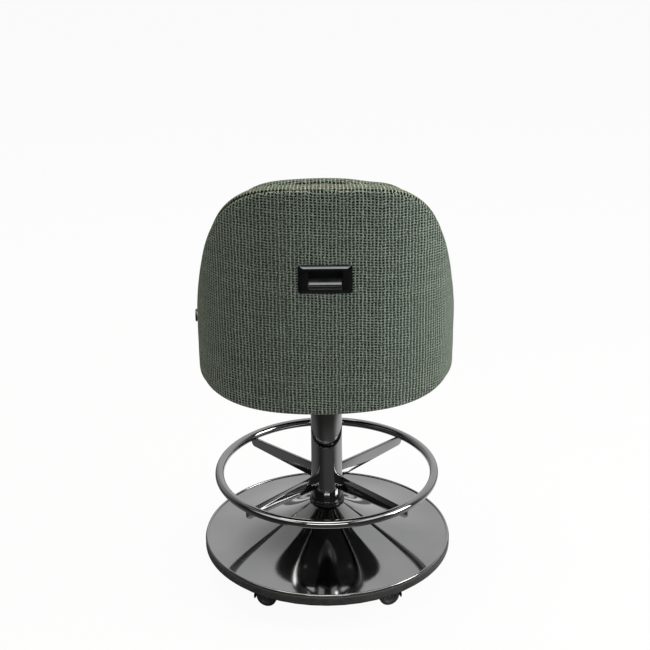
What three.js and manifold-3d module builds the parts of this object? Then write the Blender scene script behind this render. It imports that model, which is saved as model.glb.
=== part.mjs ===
// Gaming stool: a padded tub back and a swivel seat on a column with a foot ring,
// standing on a weighted round base that rolls on five twin-wheel casters.
// Millimetres, +Z up, the sitter faces -Y, the origin is on the floor under the column.

import * as THREE from 'three';
import { mergeVertices } from 'three/addons/utils/BufferGeometryUtils.js';
import Module from 'manifold-3d';

const wasm = await Module();
wasm.setup();

// Driving dimensions of the whole stool
const seatHalfWidth = 249;
const seatHalfDepth = 250;
const planExponent = 2.9;
const seatPanHeight = 486;
const seatTopHeight = 609;
const backTopHeight = 918;
const backBottomHeight = 476;
const columnDiameter = 63.5;
const columnWall = 2.5;
const ringOutsideDiameter = 458;
const ringTubeDiameter = 18;
const ringHeight = 228;
const baseDiameter = 508;
const rimBottomHeight = 65;
const wheelDiameter = 42;
const casterCount = 5;
const casterInset = 76;

// Clearances
const seatGap = 0.3;
const runningGap = 0.8;
const overrun = 5;

// Facets round a full turn, by the size of the piece
const wideSegments = 48;
const middleSegments = 20;
const smallSegments = 10;

// Finishes
const finish = (color, roughness, metalness) => new THREE.MeshStandardMaterial({ color, roughness, metalness });
const blackNickel = finish(0x3c3c40, 0.15, 1);
const castIron = finish(0x2c2c2e, 0.7, 0.6);
const steel = finish(0x9a9da2, 0.4, 1);
const bronze = finish(0x9c7a45, 0.45, 0.9);
const blackPlastic = finish(0x111214, 0.3, 0);
const blackRubber = finish(0x1b1b1c, 0.85, 0);
const greenFabric = finish(0x5d6a5c, 0.95, 0);
const plywood = finish(0xb08d5b, 0.7, 0);

// Solids and meshes
function closeSurface(geometry) {
  const bare = geometry.clone();
  bare.deleteAttribute('normal');
  bare.deleteAttribute('uv');
  const merged = mergeVertices(bare, 1e-4);
  const position = merged.getAttribute('position');
  const index = merged.getIndex().array;
  const kept = [];
  let volume = 0;
  const a = new THREE.Vector3();
  const b = new THREE.Vector3();
  const c = new THREE.Vector3();
  for (let i = 0; i < index.length; i += 3) {
    const [p, q, r] = [index[i], index[i + 1], index[i + 2]];
    if (p === q || q === r || r === p) continue;
    kept.push(p, q, r);
    a.fromBufferAttribute(position, p);
    b.fromBufferAttribute(position, q);
    c.fromBufferAttribute(position, r);
    volume += a.dot(b.cross(c));
  }
  if (volume < 0) kept.reverse();
  merged.setIndex(kept);
  return merged;
}

function solidOf(geometry) {
  const closed = closeSurface(geometry);
  return new wasm.Manifold(new wasm.Mesh({
    numProp: 3,
    vertProperties: new Float32Array(closed.getAttribute('position').array),
    triVerts: new Uint32Array(closed.getIndex().array),
  }));
}

function geometryOf(solid) {
  const mesh = solid.getMesh();
  const geometry = new THREE.BufferGeometry();
  geometry.setAttribute('position', new THREE.BufferAttribute(new Float32Array(mesh.vertProperties), 3));
  geometry.setIndex(new THREE.BufferAttribute(new Uint32Array(mesh.triVerts), 1));
  return geometry;
}

function piece(name, geometry, material, parent) {
  const closed = closeSurface(geometry);
  closed.computeVertexNormals();
  const mesh = new THREE.Mesh(closed, material);
  mesh.name = name;
  parent.add(mesh);
  return mesh;
}

// A turned piece: its outline is a list of [radius, height] about Z
function turned(outline, segments) {
  const points = outline.map(([r, z]) => new THREE.Vector2(r, z));
  return new THREE.LatheGeometry(points, segments).rotateX(Math.PI / 2);
}

// A plain round bar from one height to another
function bar(radius, low, high, segments) {
  return turned([[0, low], [radius, low], [radius, high], [0, high]], segments);
}

// A ring with a square section
function sleeve(inner, outer, low, high, segments) {
  return turned([[inner, low], [outer, low], [outer, high], [inner, high], [inner, low]], segments);
}

function roundedRectangle(width, height, radius) {
  const [w, h] = [width / 2, height / 2];
  const shape = new THREE.Shape();
  shape.moveTo(-w + radius, -h);
  shape.lineTo(w - radius, -h);
  shape.absarc(w - radius, -h + radius, radius, -Math.PI / 2, 0);
  shape.absarc(w - radius, h - radius, radius, 0, Math.PI / 2);
  shape.absarc(-w + radius, h - radius, radius, Math.PI / 2, Math.PI);
  shape.absarc(-w + radius, -h + radius, radius, Math.PI, Math.PI * 1.5);
  return shape;
}

// A flat plate lying level, cut from a shape in X and Y
function plate(shape, low, high, curveSegments) {
  const options = { depth: high - low, bevelEnabled: false, curveSegments };
  return new THREE.ExtrudeGeometry(shape, options).translate(0, 0, low);
}

// Rings of points joined into one closed skin, with flat ends triangulated from their outline
function loft(rings, outline) {
  const count = rings[0].length;
  const position = [];
  for (const ring of rings) for (const point of ring) position.push(point.x, point.y, point.z);
  const index = [];
  for (let i = 0; i + 1 < rings.length; i += 1) {
    for (let k = 0; k < count; k += 1) {
      const next = (k + 1) % count;
      const [a, b] = [i * count + k, i * count + next];
      const [c, d] = [a + count, b + count];
      index.push(a, b, c, b, d, c);
    }
  }
  const last = (rings.length - 1) * count;
  for (const [p, q, r] of THREE.ShapeUtils.triangulateShape(outline, [])) {
    const [first, second, third] = [p, q, r].sort((m, n) => m - n);
    index.push(first, third, second);
    index.push(last + first, last + second, last + third);
  }
  const geometry = new THREE.BufferGeometry();
  geometry.setAttribute('position', new THREE.Float32BufferAttribute(position, 3));
  geometry.setIndex(index);
  return geometry;
}

// Plan of the seat and the tub: one rounded curve round the column axis.
// Its points are found by the run, the length along the curve from the middle of the back.
const planSamples = 1440;
const planTable = [];
{
  let run = 0;
  let before = null;
  for (let i = 0; i <= planSamples; i += 1) {
    const turn = (Math.PI * i) / planSamples;
    const [s, c] = [Math.sin(turn), Math.cos(turn)];
    const point = new THREE.Vector2(
      seatHalfWidth * Math.abs(s) ** (2 / planExponent),
      seatHalfDepth * Math.sign(c) * Math.abs(c) ** (2 / planExponent),
    );
    if (before) run += point.distanceTo(before);
    before = point;
    planTable.push({ run, point });
  }
}
const halfPlanRun = planTable[planSamples].run;
const quarterPlanRun = planTable[planSamples / 2].run;

function planPoint(run) {
  const length = Math.abs(run);
  let low = 0;
  let high = planSamples;
  while (high - low > 1) {
    const middle = (low + high) >> 1;
    if (planTable[middle].run <= length) low = middle;
    else high = middle;
  }
  const [a, b] = [planTable[low], planTable[high]];
  const share = Math.min(1, (length - a.run) / (b.run - a.run));
  const point = a.point.clone().lerp(b.point, share);
  const power = planExponent - 1;
  const normal = new THREE.Vector2(
    Math.abs(point.x / seatHalfWidth) ** power / seatHalfWidth,
    (Math.sign(point.y) * Math.abs(point.y / seatHalfDepth) ** power) / seatHalfDepth,
  ).normalize();
  if (run < 0) {
    point.x *= -1;
    normal.x *= -1;
  }
  return { point, normal };
}

// The back leans in a little below its knee, most at the middle of the back
const tuckIn = 4;
const tuckHeight = 100;
const tuckPower = 1.6;
const tuckSideShare = 0.1;
function tuck(run, z) {
  const depth = Math.max(0, backBottomHeight + tuckHeight - z) / tuckHeight;
  const across = Math.max(0, Math.cos((Math.PI / 2) * Math.min(1, Math.abs(run) / quarterPlanRun)));
  return tuckIn * depth ** tuckPower * (tuckSideShare + (1 - tuckSideShare) * across);
}

function planPlace(run, inset, z) {
  const { point, normal } = planPoint(run);
  return new THREE.Vector3(point.x - normal.x * inset, point.y - normal.y * inset, z);
}

function tubPlace(run, inset, z) {
  return planPlace(run, inset + tuck(run, z), z);
}

// A layer of the tub: its section is a list of [inset, height] at each run
function tubLayer(reach, steps, sectionAt) {
  const rings = [];
  for (let i = 0; i <= steps; i += 1) {
    const run = -reach + (2 * reach * i) / steps;
    rings.push(sectionAt(run).map(([inset, z]) => tubPlace(run, inset, z)));
  }
  const outline = sectionAt(-reach).map(([inset, z]) => new THREE.Vector2(inset, z));
  return loft(rings, outline);
}

// Outline of the tub: the top seam falls from the back to the arms, the hem rises a little
const armTopHeight = 610;
const seamFallRun = 378;
const seamFallPower = 2;
const armReach = 45;
const armCorner = 22;
const hemRise = 25;
const hemRiseRun = 273;
const hemRisePower = 1.8;
const tubReach = quarterPlanRun + armReach;

function seamHeight(run) {
  const length = Math.abs(run);
  const fall = Math.min(1, length / seamFallRun) ** seamFallPower;
  const arch = armTopHeight + ((backTopHeight - armTopHeight) * (1 + Math.cos(Math.PI * fall))) / 2;
  const past = Math.min(1, Math.max(0, (length - (tubReach - armCorner)) / armCorner));
  return arch - armCorner * (1 - Math.sqrt(1 - past * past));
}

function hemHeight(run) {
  return backBottomHeight + hemRise * Math.min(1, Math.abs(run) / hemRiseRun) ** hemRisePower;
}

// Sizes that taper from the middle of the back to the arms
function taper(run, middle, arm) {
  const share = Math.min(1, Math.abs(run) / seamFallRun);
  const ease = share * share * (3 - 2 * share);
  return middle + (arm - middle) * ease;
}
const rearPadMiddle = 18;
const rearPadArm = 8;
const shellThickness = 9;
const boxingMiddle = 36;
const boxingArm = 22;
const tubMiddle = 68;
const tubArm = 36;
const rearPad = (run) => taper(run, rearPadMiddle, rearPadArm);
const shellOuter = (run) => rearPad(run) + seatGap;
const shellInner = (run) => shellOuter(run) + shellThickness;
const boxingWidth = (run) => taper(run, boxingMiddle, boxingArm);
const tubThickness = (run) => taper(run, tubMiddle, tubArm);

const tubSteps = 32;
const faceLevels = 6;
const topSlope = 8;
const hemRound = 14;
const hemInnerShare = 0.6;
const hemOuterShare = 0.18;
const boxingCrown = 3.5;
const boxingRoom = 1.5;
const boxingGap = 0.6;
const boxingStartShare = 0.1;
const boxingRearShare = 0.4;
const boxingFrontShare = 0.8;
const frontCrown = 4.5;
const frontRound = 22;
const frontBulge = 7;
const frontStartShare = 0.7;
const frontShoulderShare = 0.85;
const frontShoulderDropShare = 0.15;

// Heights up one face of a layer, evenly spaced
function levels(low, high, count) {
  return Array.from({ length: count }, (_, i) => low + ((high - low) * i) / (count - 1));
}

// The heights that every layer of the tub shares, so that their faces stay parallel
function faceHeights(run) {
  return levels(hemHeight(run) + hemRound, seamHeight(run) - topSlope - boxingRoom, faceLevels);
}

const stool = new THREE.Group();
const base = new THREE.Group();
const seat = new THREE.Group();
stool.add(base, seat);

// Base: a cast weight, a spun cover with a rolled rim, and a rubber band round its edge
const rimBandHeight = 17;
const rimBandWall = 6;
const coverSheet = 1.5;
const coverNeckHeight = 158;
const coverRimHeight = 87;
const coverPower = 2;
const flareSteps = 6;
const flareSpacingPower = 1.5;
const beadSteps = 4;
const beadRadius = 2.5;
const beadGroove = 2;
const collarWall = 4;
const collarHeight = 10;
const ballastThickness = 16;
const ballastChamfer = 6;
const hubRadius = 80;
const hubHeight = 6;
const bossRadius = 70;
const bossHeight = 3;

const columnRadius = columnDiameter / 2;
const casterCircleRadius = baseDiameter / 2 - casterInset;
const bandOuter = baseDiameter / 2;
const bandInner = bandOuter - rimBandWall;
const bandTop = rimBottomHeight + rimBandHeight;
const ballastTop = bandTop - ballastChamfer;
const ballastBottom = ballastTop - ballastThickness;
const ballastRadius = bandInner - seatGap;
const hubTop = ballastTop + hubHeight;
const bossBottom = ballastBottom - bossHeight;

function buildRimBand() {
  const lip = coverSheet;
  const outline = [
    [bandInner, rimBottomHeight],
    [bandOuter - lip, rimBottomHeight],
    [bandOuter, rimBottomHeight + lip],
    [bandOuter, bandTop - lip],
    [bandOuter - lip, bandTop],
    [bandInner, bandTop],
    [bandInner, rimBottomHeight],
  ];
  piece('rim_band', turned(outline, wideSegments), blackRubber, base);
}

// The cover's upper skin from the neck to the bead, then its under side back to the neck
function buildBaseCover() {
  const neck = columnRadius + seatGap + coverSheet;
  const beadMiddle = bandOuter - coverSheet - beadRadius;
  const skirt = beadMiddle - beadRadius - beadGroove;
  const flareShares = Array.from({ length: flareSteps }, (_, i) => ((i + 1) / flareSteps) ** flareSpacingPower);
  const flare = (share) => coverRimHeight - beadRadius
    + (coverNeckHeight - coverRimHeight) * (1 - share) ** coverPower;
  const top = [[neck, coverNeckHeight]];
  for (const share of flareShares) top.push([neck + (skirt - neck) * share, flare(share)]);
  const bead = [];
  for (let i = 0; i <= beadSteps; i += 1) {
    const turn = Math.PI - (Math.PI * i) / beadSteps;
    bead.push([beadMiddle + beadRadius * Math.cos(turn), coverRimHeight - beadRadius + beadRadius * Math.sin(turn)]);
  }
  const edge = bandTop + seatGap;
  const under = [[beadMiddle + beadRadius, edge], [skirt, edge]];
  for (const share of [...flareShares].reverse().slice(1)) {
    under.push([neck + (skirt - neck) * share, flare(share) - coverSheet]);
  }
  under.push([neck - coverSheet, coverNeckHeight - coverSheet]);
  under.push([neck - coverSheet, coverNeckHeight]);
  piece('base_cover', turned([...top, ...bead, ...under, top[0]], wideSegments), blackNickel, base);
}

function buildCollar() {
  const low = coverNeckHeight + seatGap;
  const inner = columnRadius + seatGap;
  const outer = inner + collarWall;
  const half = collarHeight / 2;
  const outline = [
    [inner, low],
    [outer, low],
    [outer, low + half],
    [inner + collarWall / 2, low + collarHeight],
    [inner, low + collarHeight],
    [inner, low],
  ];
  piece('base_collar', turned(outline, columnSegments), blackRubber, base);
}

// The column stands on a turned foot that screws into the hub of the weight
const footFlangeRadius = 62;
const footFlangeThickness = 8;
const footSpigotHeight = 30;
const footStubRadius = 20;
const footStubDepth = 16;
const columnTop = 452;
const columnSegments = 32;
const columnBottom = hubTop + footFlangeThickness;
const socketOuter = 9;
const socketFlange = 13;
const stemRadius = 5.5;

function casterPlaces() {
  return Array.from({ length: casterCount }, (_, i) => (Math.PI * 2 * i) / casterCount - Math.PI / casterCount);
}

function buildBallast() {
  const outline = [
    [0, bossBottom],
    [bossRadius, bossBottom],
    [bossRadius, ballastBottom],
    [ballastRadius, ballastBottom],
    [ballastRadius, ballastTop - ballastChamfer],
    [ballastRadius - ballastChamfer, ballastTop],
    [hubRadius, ballastTop],
    [hubRadius, hubTop],
    [0, hubTop],
  ];
  let solid = solidOf(turned(outline, wideSegments));
  const stub = bar(footStubRadius + seatGap, hubTop - footStubDepth - seatGap, hubTop + overrun, middleSegments);
  solid = solid.subtract(solidOf(stub));
  for (const place of casterPlaces()) {
    const bore = bar(socketOuter + seatGap, bossBottom, hubTop, smallSegments);
    bore.translate(0, casterCircleRadius, 0).rotateZ(-place);
    solid = solid.subtract(solidOf(bore));
  }
  piece('ballast_weight', geometryOf(solid), castIron, base);
}

function buildColumn() {
  const spigot = columnRadius - columnWall - seatGap;
  const foot = [
    [0, hubTop - footStubDepth],
    [footStubRadius, hubTop - footStubDepth],
    [footStubRadius, hubTop],
    [footFlangeRadius, hubTop],
    [footFlangeRadius, columnBottom],
    [spigot, columnBottom],
    [spigot, columnBottom + footSpigotHeight],
    [0, columnBottom + footSpigotHeight],
  ];
  piece('column_foot', turned(foot, middleSegments), steel, base);
  const tube = sleeve(columnRadius - columnWall, columnRadius, columnBottom, columnTop, columnSegments);
  piece('column_tube', tube, blackNickel, base);
}

// Foot ring: a bent tube on four flat bars that are welded to the column
const ringTubeSides = 12;
const ringSteps = 48;
const spokeCount = 4;
const spokeThickness = 5;
const spokeRise = 1.5;
const spokeRootDepth = 34.5;
const spokeTipDepth = 23.5;
const spokePastTube = 7;
const spokeTipCorner = 9;
const ringTubeRadius = ringTubeDiameter / 2;
const ringMiddle = ringOutsideDiameter / 2 - ringTubeRadius;

function buildFootRing() {
  const tube = new THREE.TorusGeometry(ringMiddle, ringTubeRadius, ringTubeSides, ringSteps);
  tube.translate(0, 0, ringHeight);
  piece('footring_tube', tube, blackNickel, base);
  const root = columnRadius + seatGap;
  const tip = ringMiddle + ringTubeRadius + spokePastTube;
  const top = ringHeight + spokeRise;
  const saddle = ringTubeRadius + seatGap;
  const entry = Math.asin(spokeRise / saddle);
  const outline = new THREE.Shape();
  outline.moveTo(root, top - spokeRootDepth);
  outline.lineTo(tip - spokeTipCorner, top - spokeTipDepth);
  outline.absarc(tip - spokeTipCorner, top - spokeTipDepth + spokeTipCorner, spokeTipCorner, -Math.PI / 2, 0);
  outline.lineTo(tip, ringHeight - ringTubeRadius / 2);
  outline.lineTo(ringMiddle + saddle * Math.cos(Math.PI / 6), ringHeight - saddle / 2);
  outline.absarc(ringMiddle, ringHeight, saddle, -Math.PI / 6, Math.PI - entry - Math.PI * 2, true);
  outline.lineTo(root, top);
  for (let i = 0; i < spokeCount; i += 1) {
    const bladeOptions = { depth: spokeThickness, bevelEnabled: false, curveSegments: 5 };
    const blade = new THREE.ExtrudeGeometry(outline, bladeOptions);
    blade.translate(0, 0, -spokeThickness / 2).rotateX(Math.PI / 2);
    blade.rotateZ((Math.PI * 2 * (i + 0.5)) / spokeCount);
    piece(`footring_spoke_${i + 1}`, blade, blackNickel, base);
  }
}

// Casters: a socket in the weight, a hood that swivels on its stem, and two wheels on one axle
const casterTrail = 16;
const casterTurns = [-72, 72, 72, 72, -72];
const wheelWidth = 14;
const wheelShoulder = 3;
const hubDish = 3;
const hubDishRadius = 13;
const wheelSegments = 20;
const webThickness = 7;
const fenderGap = 2;
const fenderWall = 2.5;
const axleRadius = 3;
const stemCollarRadius = 9;
const webRadius = 13;
const hoodSegments = 7;
const fenderFront = Math.PI * 0.08;
const fenderRear = Math.PI * 1.04;
const wheelRadius = wheelDiameter / 2;
const wheelInner = webThickness / 2 + runningGap;
const wheelOuter = wheelInner + wheelWidth;
const fenderInner = wheelRadius + fenderGap;
const fenderOuter = fenderInner + fenderWall;
const fenderHalfWidth = wheelOuter + runningGap;
const socketFlangeThickness = bossHeight;
const socketFlangeBottom = ballastBottom - socketFlangeThickness;

// Turns a shape drawn in trail and height into a plate across the axle
function acrossAxle(shape, width) {
  const options = { depth: width, bevelEnabled: false, curveSegments: hoodSegments };
  const geometry = new THREE.ExtrudeGeometry(shape, options).translate(0, 0, -width / 2);
  return geometry.rotateY(Math.PI / 2).rotateX(Math.PI / 2);
}

// The hood is a half drum with a room cut for each wheel, so a web stays between them
function casterHood() {
  const drum = new THREE.Shape();
  drum.absarc(casterTrail, wheelRadius, fenderOuter, fenderFront, fenderRear);
  drum.absarc(casterTrail, wheelRadius, webRadius, fenderRear, fenderFront + Math.PI * 2);
  const low = wheelRadius + fenderInner * Math.sin(Math.acos(casterTrail / fenderInner));
  const collar = bar(stemCollarRadius, low, socketFlangeBottom - seatGap, smallSegments);
  const stem = bar(stemRadius, low, ballastTop, smallSegments);
  let solid = solidOf(acrossAxle(drum, fenderHalfWidth * 2));
  solid = solid.add(solidOf(collar)).add(solidOf(stem));
  for (const side of [-1, 1]) {
    const room = bar(fenderInner, webThickness / 2, fenderHalfWidth + overrun, wheelSegments);
    room.rotateY((side * Math.PI) / 2).translate(0, casterTrail, wheelRadius);
    solid = solid.subtract(solidOf(room));
  }
  const bore = bar(axleRadius + seatGap, -overrun - webThickness, overrun + webThickness, smallSegments);
  bore.rotateY(Math.PI / 2).translate(0, casterTrail, wheelRadius);
  return geometryOf(solid.subtract(solidOf(bore)));
}

function casterWheel(side) {
  const outline = [
    [axleRadius + seatGap, wheelInner],
    [wheelRadius, wheelInner],
    [wheelRadius, wheelOuter - wheelShoulder],
    [wheelRadius - wheelShoulder, wheelOuter],
    [hubDishRadius, wheelOuter],
    [hubDishRadius - hubDish, wheelOuter - hubDish],
    [axleRadius + seatGap, wheelOuter - hubDish],
    [axleRadius + seatGap, wheelInner],
  ];
  const wheel = turned(outline, wheelSegments);
  return wheel.rotateY((side * Math.PI) / 2).translate(0, casterTrail, wheelRadius);
}

function buildCasters() {
  const hood = casterHood();
  casterPlaces().forEach((place, i) => {
    const group = new THREE.Group();
    group.rotation.z = -place;
    base.add(group);
    const stand = new THREE.Group();
    stand.position.y = casterCircleRadius;
    stand.rotation.z = -THREE.MathUtils.degToRad(casterTurns[i]);
    group.add(stand);
    const label = `caster_${i + 1}`;
    const socket = [
      [stemRadius + seatGap, socketFlangeBottom],
      [socketFlange, socketFlangeBottom],
      [socketFlange, ballastBottom - seatGap],
      [socketOuter, ballastBottom - seatGap],
      [socketOuter, ballastTop],
      [stemRadius + seatGap, ballastTop],
      [stemRadius + seatGap, socketFlangeBottom],
    ];
    piece(`${label}_socket`, turned(socket, smallSegments), steel, stand);
    piece(`${label}_hood`, hood, blackPlastic, stand);
    const axle = bar(axleRadius, -wheelOuter + hubDish, wheelOuter - hubDish, smallSegments);
    axle.rotateY(Math.PI / 2).translate(0, casterTrail, wheelRadius);
    piece(`${label}_axle`, axle, steel, stand);
    piece(`${label}_wheel_left`, casterWheel(-1), blackRubber, stand);
    piece(`${label}_wheel_right`, casterWheel(1), blackRubber, stand);
  });
}

// Swivel: the seat's spindle turns in two bushes inside the column and rests on a washer
const spindleRadius = 15;
const lowerBushHeight = 330;
const lowerBushLength = 20;
const upperBushLength = 27;
const bushLip = 3;
const washerThickness = 4;
const washerOuter = 40;
const spindleFlangeRadius = 44;
const spindleFlangeThickness = 8;
const clipWidth = 7;
const clipThickness = 3;
const spindleTail = 5;
const bushOuter = columnRadius - columnWall - seatGap;
const washerBottom = columnTop + bushLip;
const spindleFlangeBottom = washerBottom + washerThickness;
const swivelPlateBottom = spindleFlangeBottom + spindleFlangeThickness;

function buildSwivel() {
  const bore = spindleRadius + seatGap;
  const lower = sleeve(bore, bushOuter, lowerBushHeight, lowerBushHeight + lowerBushLength, middleSegments);
  piece('swivel_bush_lower', lower, bronze, base);
  const upper = [
    [bore, columnTop - upperBushLength],
    [bushOuter, columnTop - upperBushLength],
    [bushOuter, columnTop],
    [columnRadius, columnTop],
    [columnRadius, washerBottom],
    [bore, washerBottom],
    [bore, columnTop - upperBushLength],
  ];
  piece('swivel_bush_upper', turned(upper, middleSegments), bronze, base);
  piece('thrust_washer', sleeve(bore, washerOuter, washerBottom, spindleFlangeBottom, middleSegments), steel, base);
  const clipTop = lowerBushHeight - runningGap;
  const clipBottom = clipTop - clipThickness;
  const groove = spindleRadius - clipThickness / 2;
  const spindle = [
    [0, clipBottom - spindleTail],
    [spindleRadius, clipBottom - spindleTail],
    [spindleRadius, clipBottom - seatGap],
    [groove, clipBottom - seatGap],
    [groove, clipTop + seatGap],
    [spindleRadius, clipTop + seatGap],
    [spindleRadius, spindleFlangeBottom],
    [spindleFlangeRadius, spindleFlangeBottom],
    [spindleFlangeRadius, swivelPlateBottom],
    [0, swivelPlateBottom],
  ];
  piece('seat_spindle', turned(spindle, middleSegments), steel, seat);
  const clip = sleeve(groove + seatGap, spindleRadius + clipWidth, clipBottom, clipTop, middleSegments);
  piece('spindle_clip', clip, steel, seat);
}

// Seat frame: a swivel plate, two open channels, a plywood pan and the bolts through them
const swivelPlateWidth = 230;
const swivelPlateDepth = 190;
const swivelPlateThickness = 5;
const swivelPlateCorner = 18;
const cornerSegments = 3;
const railWidth = 30;
const railSheet = 3;
const railLength = 300;
const railInset = 8;
const panThickness = 14;
const panInset = 9;
const boltRadius = 4;
const boltHeadRadius = 7;
const boltHeadHeight = 5;
const boltInPan = 8;
const boltSpreadDepth = 120;
const railBottom = swivelPlateBottom + swivelPlateThickness;
const railMiddle = swivelPlateWidth / 2 - railInset - railWidth / 2;
const panTop = seatPanHeight + panThickness;

function boltPlaces() {
  const y = boltSpreadDepth / 2;
  return [[railMiddle, y], [-railMiddle, y], [-railMiddle, -y], [railMiddle, -y]];
}

function boltHoles(solid, low, high) {
  let drilled = solid;
  for (const [x, y] of boltPlaces()) {
    const hole = bar(boltRadius + seatGap, low, high, smallSegments).translate(x, y, 0);
    drilled = drilled.subtract(solidOf(hole));
  }
  return drilled;
}

// The seat's outline: full width in front, drawn in where it sits between the arms
const earGap = 1;
const frontSteps = 26;
function seatOutline(inset, z) {
  const points = [];
  for (let i = 0; i <= tubSteps; i += 1) {
    const run = -tubReach + (2 * tubReach * i) / tubSteps;
    points.push(tubPlace(run, tubThickness(run) + earGap + inset, z));
  }
  const front = halfPlanRun - tubReach - earGap;
  for (let i = 0; i <= frontSteps; i += 1) {
    const past = (2 * front * i) / frontSteps;
    const run = past <= front ? tubReach + earGap + past : past - 2 * front - tubReach - earGap;
    points.push(planPlace(run, inset, z));
  }
  return points;
}

function seatStack(layers) {
  const rings = layers.map(([inset, z]) => seatOutline(inset, z));
  const outline = rings[0].map((point) => new THREE.Vector2(point.x, point.y));
  return loft(rings, outline);
}

function buildSeatFrame() {
  const plateShape = roundedRectangle(swivelPlateWidth, swivelPlateDepth, swivelPlateCorner);
  const swivelPlate = solidOf(plate(plateShape, swivelPlateBottom, railBottom, cornerSegments));
  const drilled = boltHoles(swivelPlate, swivelPlateBottom - overrun, railBottom + overrun);
  piece('swivel_plate', geometryOf(drilled), steel, seat);
  for (const [name, side] of [['left', 1], ['right', -1]]) {
    const channel = new THREE.Shape();
    const [w, h] = [railWidth / 2, seatPanHeight - railBottom];
    channel.moveTo(-w, 0);
    channel.lineTo(w, 0);
    channel.lineTo(w, railSheet);
    channel.lineTo(-w + railSheet, railSheet);
    channel.lineTo(-w + railSheet, h - railSheet);
    channel.lineTo(w, h - railSheet);
    channel.lineTo(w, h);
    channel.lineTo(-w, h);
    channel.lineTo(-w, 0);
    const rail = new THREE.ExtrudeGeometry(channel, { depth: railLength, bevelEnabled: false });
    rail.translate(0, 0, -railLength / 2).rotateX(Math.PI / 2);
    if (side > 0) rail.rotateZ(Math.PI);
    rail.translate(side * railMiddle, 0, railBottom);
    const bored = boltHoles(solidOf(rail), railBottom - overrun, seatPanHeight + overrun);
    piece(`seat_rail_${name}`, geometryOf(bored), steel, seat);
  }
  const pan = solidOf(seatStack([[panInset, seatPanHeight], [panInset, panTop]]));
  const panBored = boltHoles(pan, seatPanHeight - overrun, seatPanHeight + boltInPan + seatGap);
  piece('seat_pan', geometryOf(panBored), plywood, seat);
  boltPlaces().forEach(([x, y], i) => {
    const outline = [
      [0, swivelPlateBottom - boltHeadHeight],
      [boltHeadRadius, swivelPlateBottom - boltHeadHeight],
      [boltHeadRadius, swivelPlateBottom],
      [boltRadius, swivelPlateBottom],
      [boltRadius, seatPanHeight + boltInPan],
      [0, seatPanHeight + boltInPan],
    ];
    piece(`seat_bolt_${i + 1}`, turned(outline, smallSegments).translate(x, y, 0), steel, seat);
  });
}

// Seat cushion: boxed sides that draw in between two seams, and a crowned top.
// Its sides come down round the edge of the pan.
const seatSeamHeight = 586;
const seatSideInsets = [4, 1, 0.5, 3.5, 0.5];
const seatSideShares = [0, 0.06, 0.2, 0.55, 1];
const seatTopInsets = [5, 16, 45, 95, 140];
const seatTopShares = [0.33, 0.6, 0.8, 0.94, 1];
function buildSeatCushion() {
  const sideHeight = seatSeamHeight - seatPanHeight;
  const side = seatSideShares.map((share, i) => [seatSideInsets[i], seatPanHeight + sideHeight * share]);
  const rise = seatTopHeight - seatSeamHeight;
  const top = seatTopShares.map((share, i) => [seatTopInsets[i], seatSeamHeight + rise * share]);
  const foam = solidOf(seatStack([...side, ...top]));
  const pocket = solidOf(seatStack([[panInset - seatGap, seatPanHeight - overrun], [panInset - seatGap, panTop]]));
  piece('seat_cushion', geometryOf(foam.subtract(pocket)), greenFabric, seat);
}

// Pull handle in the back: a bezel round a cup that the fingers hook up into
const handleDrop = 166;
const handleHeight = backTopHeight - handleDrop;
const handleWidth = 98;
const handleDepth = 56;
const handleCorner = 5;
const mouthWidth = 62;
const mouthHeight = 34;
const mouthCorner = 4;
const bezelProud = 3;
const bezelSunk = 4;
const bezelSlope = 7;
const bezelEdge = 0.5;
const bezelFaceCorner = 2;
const cupWall = 2;
const cupDepth = 32;
const cupUndercut = 5;
const scoopRunShare = 0.25;
const scoopDropShare = 0.2;
const cupWidth = mouthWidth + cupWall * 2;
const cupFront = seatHalfDepth - bezelSunk - seatGap;
const cupBack = cupFront - cupDepth;
const mouthLow = handleHeight - mouthHeight / 2;
const mouthHigh = handleHeight + mouthHeight / 2;

function block(width, low, high, rear, front) {
  const geometry = new THREE.BoxGeometry(width, front - rear, high - low);
  return geometry.translate(0, (front + rear) / 2, (low + high) / 2);
}

function handleRoom(solid) {
  const bezelSeat = block(
    handleWidth + seatGap * 2,
    handleHeight - handleDepth / 2 - seatGap,
    handleHeight + handleDepth / 2 + seatGap,
    seatHalfDepth - bezelSunk - seatGap,
    seatHalfDepth + overrun,
  );
  const cupSeat = block(
    cupWidth + seatGap * 2,
    mouthLow - cupWall - seatGap,
    mouthHigh + cupUndercut + cupWall + seatGap,
    cupBack - seatGap,
    seatHalfDepth + overrun,
  );
  return solid.subtract(solidOf(bezelSeat)).subtract(solidOf(cupSeat));
}

// One edge of the bezel, drawn in from its outside, at a given place from front to back
function bezelRing(inset, corner, y) {
  const shape = roundedRectangle(handleWidth - inset * 2, handleDepth - inset * 2, corner);
  return shape.extractPoints(cornerSegments).shape.map((point) => (
    new THREE.Vector3(point.x, y, handleHeight + point.y)
  ));
}

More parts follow.
